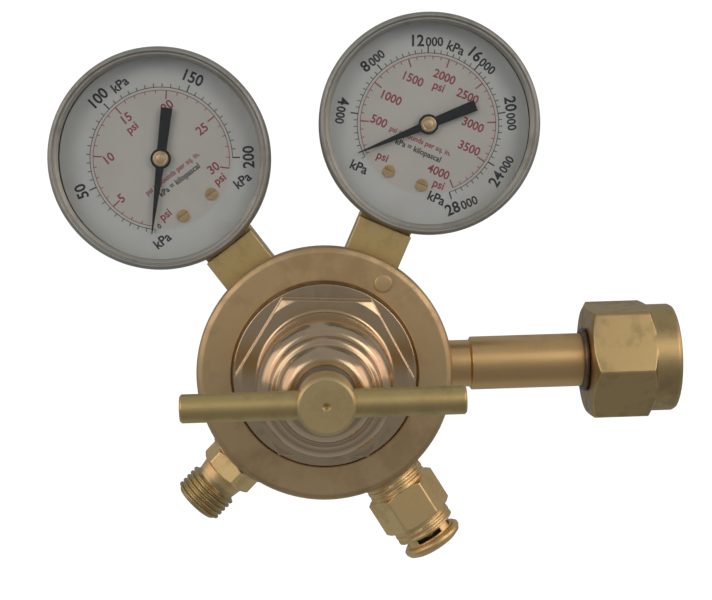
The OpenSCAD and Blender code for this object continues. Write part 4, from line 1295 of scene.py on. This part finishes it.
# Regulator
@dataclass
class Regulator:
    """The body, bonnet, screw and everything round them.

    Attributes:
        vent_r: Radius inside which painted shade darkens the relief valve's vent, in millimetres.
        thread_from: Distance from the screw's axis at which the stained outlet thread starts.
        pad: Outline of the round pad on the flange, above its foot.
        pad_spot: The pad's foot in the row frame.
        pad_steps: Facets round the pad.
    """

    vent_r: float = 7.0
    thread_from: float = 47.5
    pad: list[Point2] = field(default_factory=lambda: [
        (0.0, -0.2), (2.75, -0.2), (2.75, 0.3), (2.68, 0.45), (2.52, 0.56), (2.3, 0.6),
        (0.0, 0.62),
    ])
    pad_spot: Point3 = (18.3 - INLET_REACH, -15.0, 26.9)
    pad_steps: int = 64

    def build(self, nodes: dict[str, bpy.types.Object]) -> None:
        """Dresses the regulator's solids.

        Args:
            nodes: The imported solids.
        """
        screw, inlet, bar = screw_place(), inlet_place(), bar_place()
        outlet = port_place(OUTLET_ANGLE, FRONT_ADVANCE)
        relief = port_place(RELIEF_ANGLE, FRONT_ADVANCE)
        turned = TURNED_BRASS.make(screw, " inside")
        zinc = ZINC_STEEL.make(screw)
        spring = SPRING_STEEL.make(screw)
        rubber = BLACK_RUBBER.make(inlet)
        # Painted shade darkens the relief valve's body and poppet inside the vent's radius
        vent_shaded = replace(LIT_FITTING_BRASS, bore=self.vent_r).make(relief, " vented")
        poppet_shaded = replace(TURNED_BRASS, bore=self.vent_r).make(relief, " poppet")
        stained = replace(LIT_FITTING_BRASS, stained_from=self.thread_from).make(outlet, " outlet")
        cast = CAST_BRASS.make(screw)
        pad = Bench.turn("flange_pad", self.pad, self.pad_steps)
        Bench.settle(pad, replace(screw, origin=self.pad_spot).matrix())
        Bench.dress(pad, cast, "regulator", "forged_brass")
        finishes = {
            "body": cast, "bonnet": POLISHED_BRASS.make(screw),
            "adjusting_screw": HEAD_BRASS.make(screw), "tee_bar": SATIN_BAR.make(bar),
            "spring_button": zinc, "lower_spring_plate": zinc, "slip_ring": zinc,
            "thrust_ball": BRIGHT_STEEL.make(screw), "adjusting_spring": spring,
            "diaphragm": rubber, "diaphragm_pusher": turned, "nozzle": turned,
            "valve_stem": BRIGHT_STEEL.make(screw, " stem"),
            "valve_seat": SEAT_PLASTIC.make(screw), "seat_spring": spring,
            "inlet_filter": SINTERED_BRONZE.make(screw), "inlet_nipple": TUBE_BRASS.make(inlet),
            "nut_retaining_ring": RING_STEEL.make(inlet), "inlet_nut": NUT_BRASS.make(inlet),
            "outlet_fitting": stained, "relief_body": vent_shaded, "relief_poppet": poppet_shaded,
            "relief_cap": LIT_FITTING_BRASS.make(relief, " relief cap"),
            "relief_seal": rubber, "relief_spring": spring,
        }
        for part, finish in finishes.items():
            refinish(nodes[part], finish)


# Studio
@dataclass
class Softbox:
    """A soft light.

    Attributes:
        name: Its name.
        azimuth: Its direction from the object, to the right of straight ahead, in degrees.
        elevation: Its height above the horizon, in degrees.
        reach: Its distance, in metres.
        size: Width and height, in metres.
        radiance: Brightness of its face.
        colour: Its colour.
    """

    name: str
    azimuth: float
    elevation: float
    reach: float
    size: tuple[float, float]
    radiance: float
    colour: RGB = (1.0, 1.0, 1.0)

    def build(self, target: Vector) -> None:
        """Hangs the light, facing the object.

        Args:
            target: What it faces.
        """
        a, e = math.radians(self.azimuth), math.radians(self.elevation)
        away = Vector((math.sin(a) * math.cos(e), -math.cos(a) * math.cos(e), math.sin(e)))
        lamp = bpy.data.lights.new(self.name, "AREA")
        lamp.shape, lamp.size, lamp.size_y = "RECTANGLE", *self.size
        lamp.energy = math.pi * self.size[0] * self.size[1] * self.radiance
        lamp.color = self.colour
        holder = bpy.data.objects.new(self.name, lamp)
        bpy.context.scene.collection.objects.link(holder)
        holder.location = target + away * self.reach
        holder.rotation_euler = (-away).to_track_quat("-Z", "Y").to_euler()
        holder.visible_camera = False


@dataclass
class Studio:
    """A plain pale floor, soft light and the camera, in metres and radians.

    Attributes:
        floor_z: Height of the floor.
        floor_r: Its radius.
        floor_steps: Corners round it.
        target: What the lights face.
        eye: Where the camera stands.
        yaw: Its turn to the left.
        pitch: Its tilt upward.
        roll: Its turn about its own axis.
        lens: Its focal length, in millimetres.
        sensor: Width of its sensor, in millimetres.
        room: Height from 0 to 1, and brightness, of the middle bands of the room.
        cool: What a band's brightness is multiplied by in red, green and blue.
        room_foot: Height and colour of its lowest band.
        room_top: Height and colour of its highest band.
        low_front: Colour of its dark part, low in front.
        front_fade: From where to where that part fades out towards the back.
        low_fade: From where to where it fades out upward.
        lights: The lights.
    """

    floor_z: float = -0.17
    floor_r: float = 4.0
    floor_steps: int = 96
    target: Point3 = (-0.09, 0.0, 0.03)
    eye: Point3 = (-0.09838, -0.47063, 0.0645)
    yaw: float = -0.025
    pitch: float = -0.0925
    roll: float = 0.029
    lens: float = 77.17
    sensor: float = 36.0
    room: tuple[Point2, ...] = (
        (0.33, 0.27), (0.385, 0.20), (0.43, 0.25), (0.52, 0.25), (0.72, 0.31),
    )
    cool: RGB = (0.94, 1.0, 1.08)
    room_foot: tuple[float, RGB] = (0.20, (0.29, 0.31, 0.33))
    room_top: tuple[float, RGB] = (0.95, (0.32, 0.34, 0.365))
    low_front: RGB = (0.185, 0.185, 0.205)
    front_fade: Point2 = (-0.35, 0.15)
    low_fade: Point2 = (-0.38, -0.20)
    lights: list[Softbox] = field(default_factory=lambda: [
        Softbox("left lamp", -72.0, 18.0, 1.0, (1.10, 0.60), 0.78, (1.0, 0.78, 0.72)),
        Softbox("right lamp", 70.0, 18.0, 1.0, (1.10, 0.60), 0.95, (1.0, 0.76, 0.70)),
        Softbox("left panel", -34.0, 20.0, 1.1, (0.50, 0.60), 1.20, (1.0, 0.93, 0.88)),
        Softbox("right panel", 33.0, 22.0, 1.1, (0.50, 0.60), 1.60, (1.0, 0.92, 0.86)),
    ])

    def floor(self) -> None:
        """Lays the floor: a wide disc, which neither lights the object nor shows in it."""
        Bench.clear()
        bpy.ops.mesh.primitive_circle_add(
            vertices=self.floor_steps, radius=self.floor_r, fill_type="NGON",
            location=(0, 0, self.floor_z),
        )
        floor = bpy.context.object
        floor.name = "floor"
        Bench.settle(floor, Matrix.Identity(4))
        graph = ShaderGraph("pale floor")
        cloud = graph.noise(graph.plain(), Noise(3.0, 2.0, 0.5))
        colour = graph.mix((0.90, 0.90, 0.89), (0.86, 0.86, 0.86), cloud.between(0.3, 0.7))
        glow = {"Emission_Color": (1.0, 1.0, 1.0), "Emission_Strength": 0.75}
        graph.principled(Base_Color=colour, Roughness=0.9, **glow)
        floor.data.materials.append(graph.material)
        floor.visible_glossy = False
        floor.visible_diffuse = False

    def world(self) -> None:
        """Sets a white ground behind the object and a dim room round it, darkest low in front."""
        world = bpy.data.worlds.new("studio")
        bpy.context.scene.world = world
        world.use_nodes = True
        graph = ShaderGraph("studio", world.node_tree)
        way = graph.node("ShaderNodeTexCoord", {}, {}, "Generated")
        depth, up = graph.along(way, "Y"), graph.along(way, "Z")
        middle = [(at, tuple(level * c for c in self.cool)) for at, level in self.room]
        stops = [self.room_foot, *middle, self.room_top]
        room = graph.node("ShaderNodeValToRGB", {"stops": stops}, {0: up * 0.5 + 0.5}, "Color")
        front = depth.between(*self.front_fade, 1.0, 0.0)
        room = graph.mix(room, self.low_front, front * up.between(*self.low_fade, 1.0, 0.0))
        dim = graph.node("ShaderNodeBackground", {}, {"Color": room})
        values = {"Color": (1.0, 1.0, 1.0), "Strength": 1.05}
        white = graph.node("ShaderNodeBackground", {}, values)
        seen = graph.node("ShaderNodeLightPath", {}, {}, "Is Camera Ray")
        both = graph.node("ShaderNodeMixShader", {}, {0: seen, 1: dim, 2: white})
        graph.surface(both, "ShaderNodeOutputWorld")

    def camera(self) -> None:
        """Sets the camera at its fitted place."""
        lens = bpy.data.cameras.new("camera")
        lens.sensor_width, lens.lens = self.sensor, self.lens
        lens.clip_start, lens.clip_end = 0.01, 50.0
        camera = bpy.data.objects.new("camera", lens)
        bpy.context.scene.collection.objects.link(camera)
        turns = ((self.yaw, "Z"), (self.pitch, "X"), (self.roll, "Y"))
        yaw, pitch, roll = (Matrix.Rotation(angle, 3, axis) for angle, axis in turns)
        turn = yaw @ pitch @ roll
        axes = Matrix((turn.col[0], turn.col[2], -turn.col[1])).transposed()
        camera.matrix_world = Matrix.Translation(self.eye) @ axes.to_4x4()
        bpy.context.scene.camera = camera

    def build(self) -> None:
        """Sets up floor, light, world and camera."""
        self.camera()
        self.floor()
        self.world()
        for light in self.lights:
            light.build(Vector(self.target))
        view = bpy.context.scene.view_settings
        view.view_transform, view.look, view.exposure, view.gamma = "Standard", "None", 0.0, 1.0


def main() -> None:
    """Builds the dressed regulator in order."""
    logging.basicConfig(level=logging.INFO, format="%(name)s: %(message)s")
    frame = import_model()
    nodes = frame["nodes"]
    Studio().build()
    Regulator().build(nodes)
    low_gauge().build(nodes)
    high_gauge().build(nodes)
    Bench.clear()


if __name__ == "__main__":
    main()
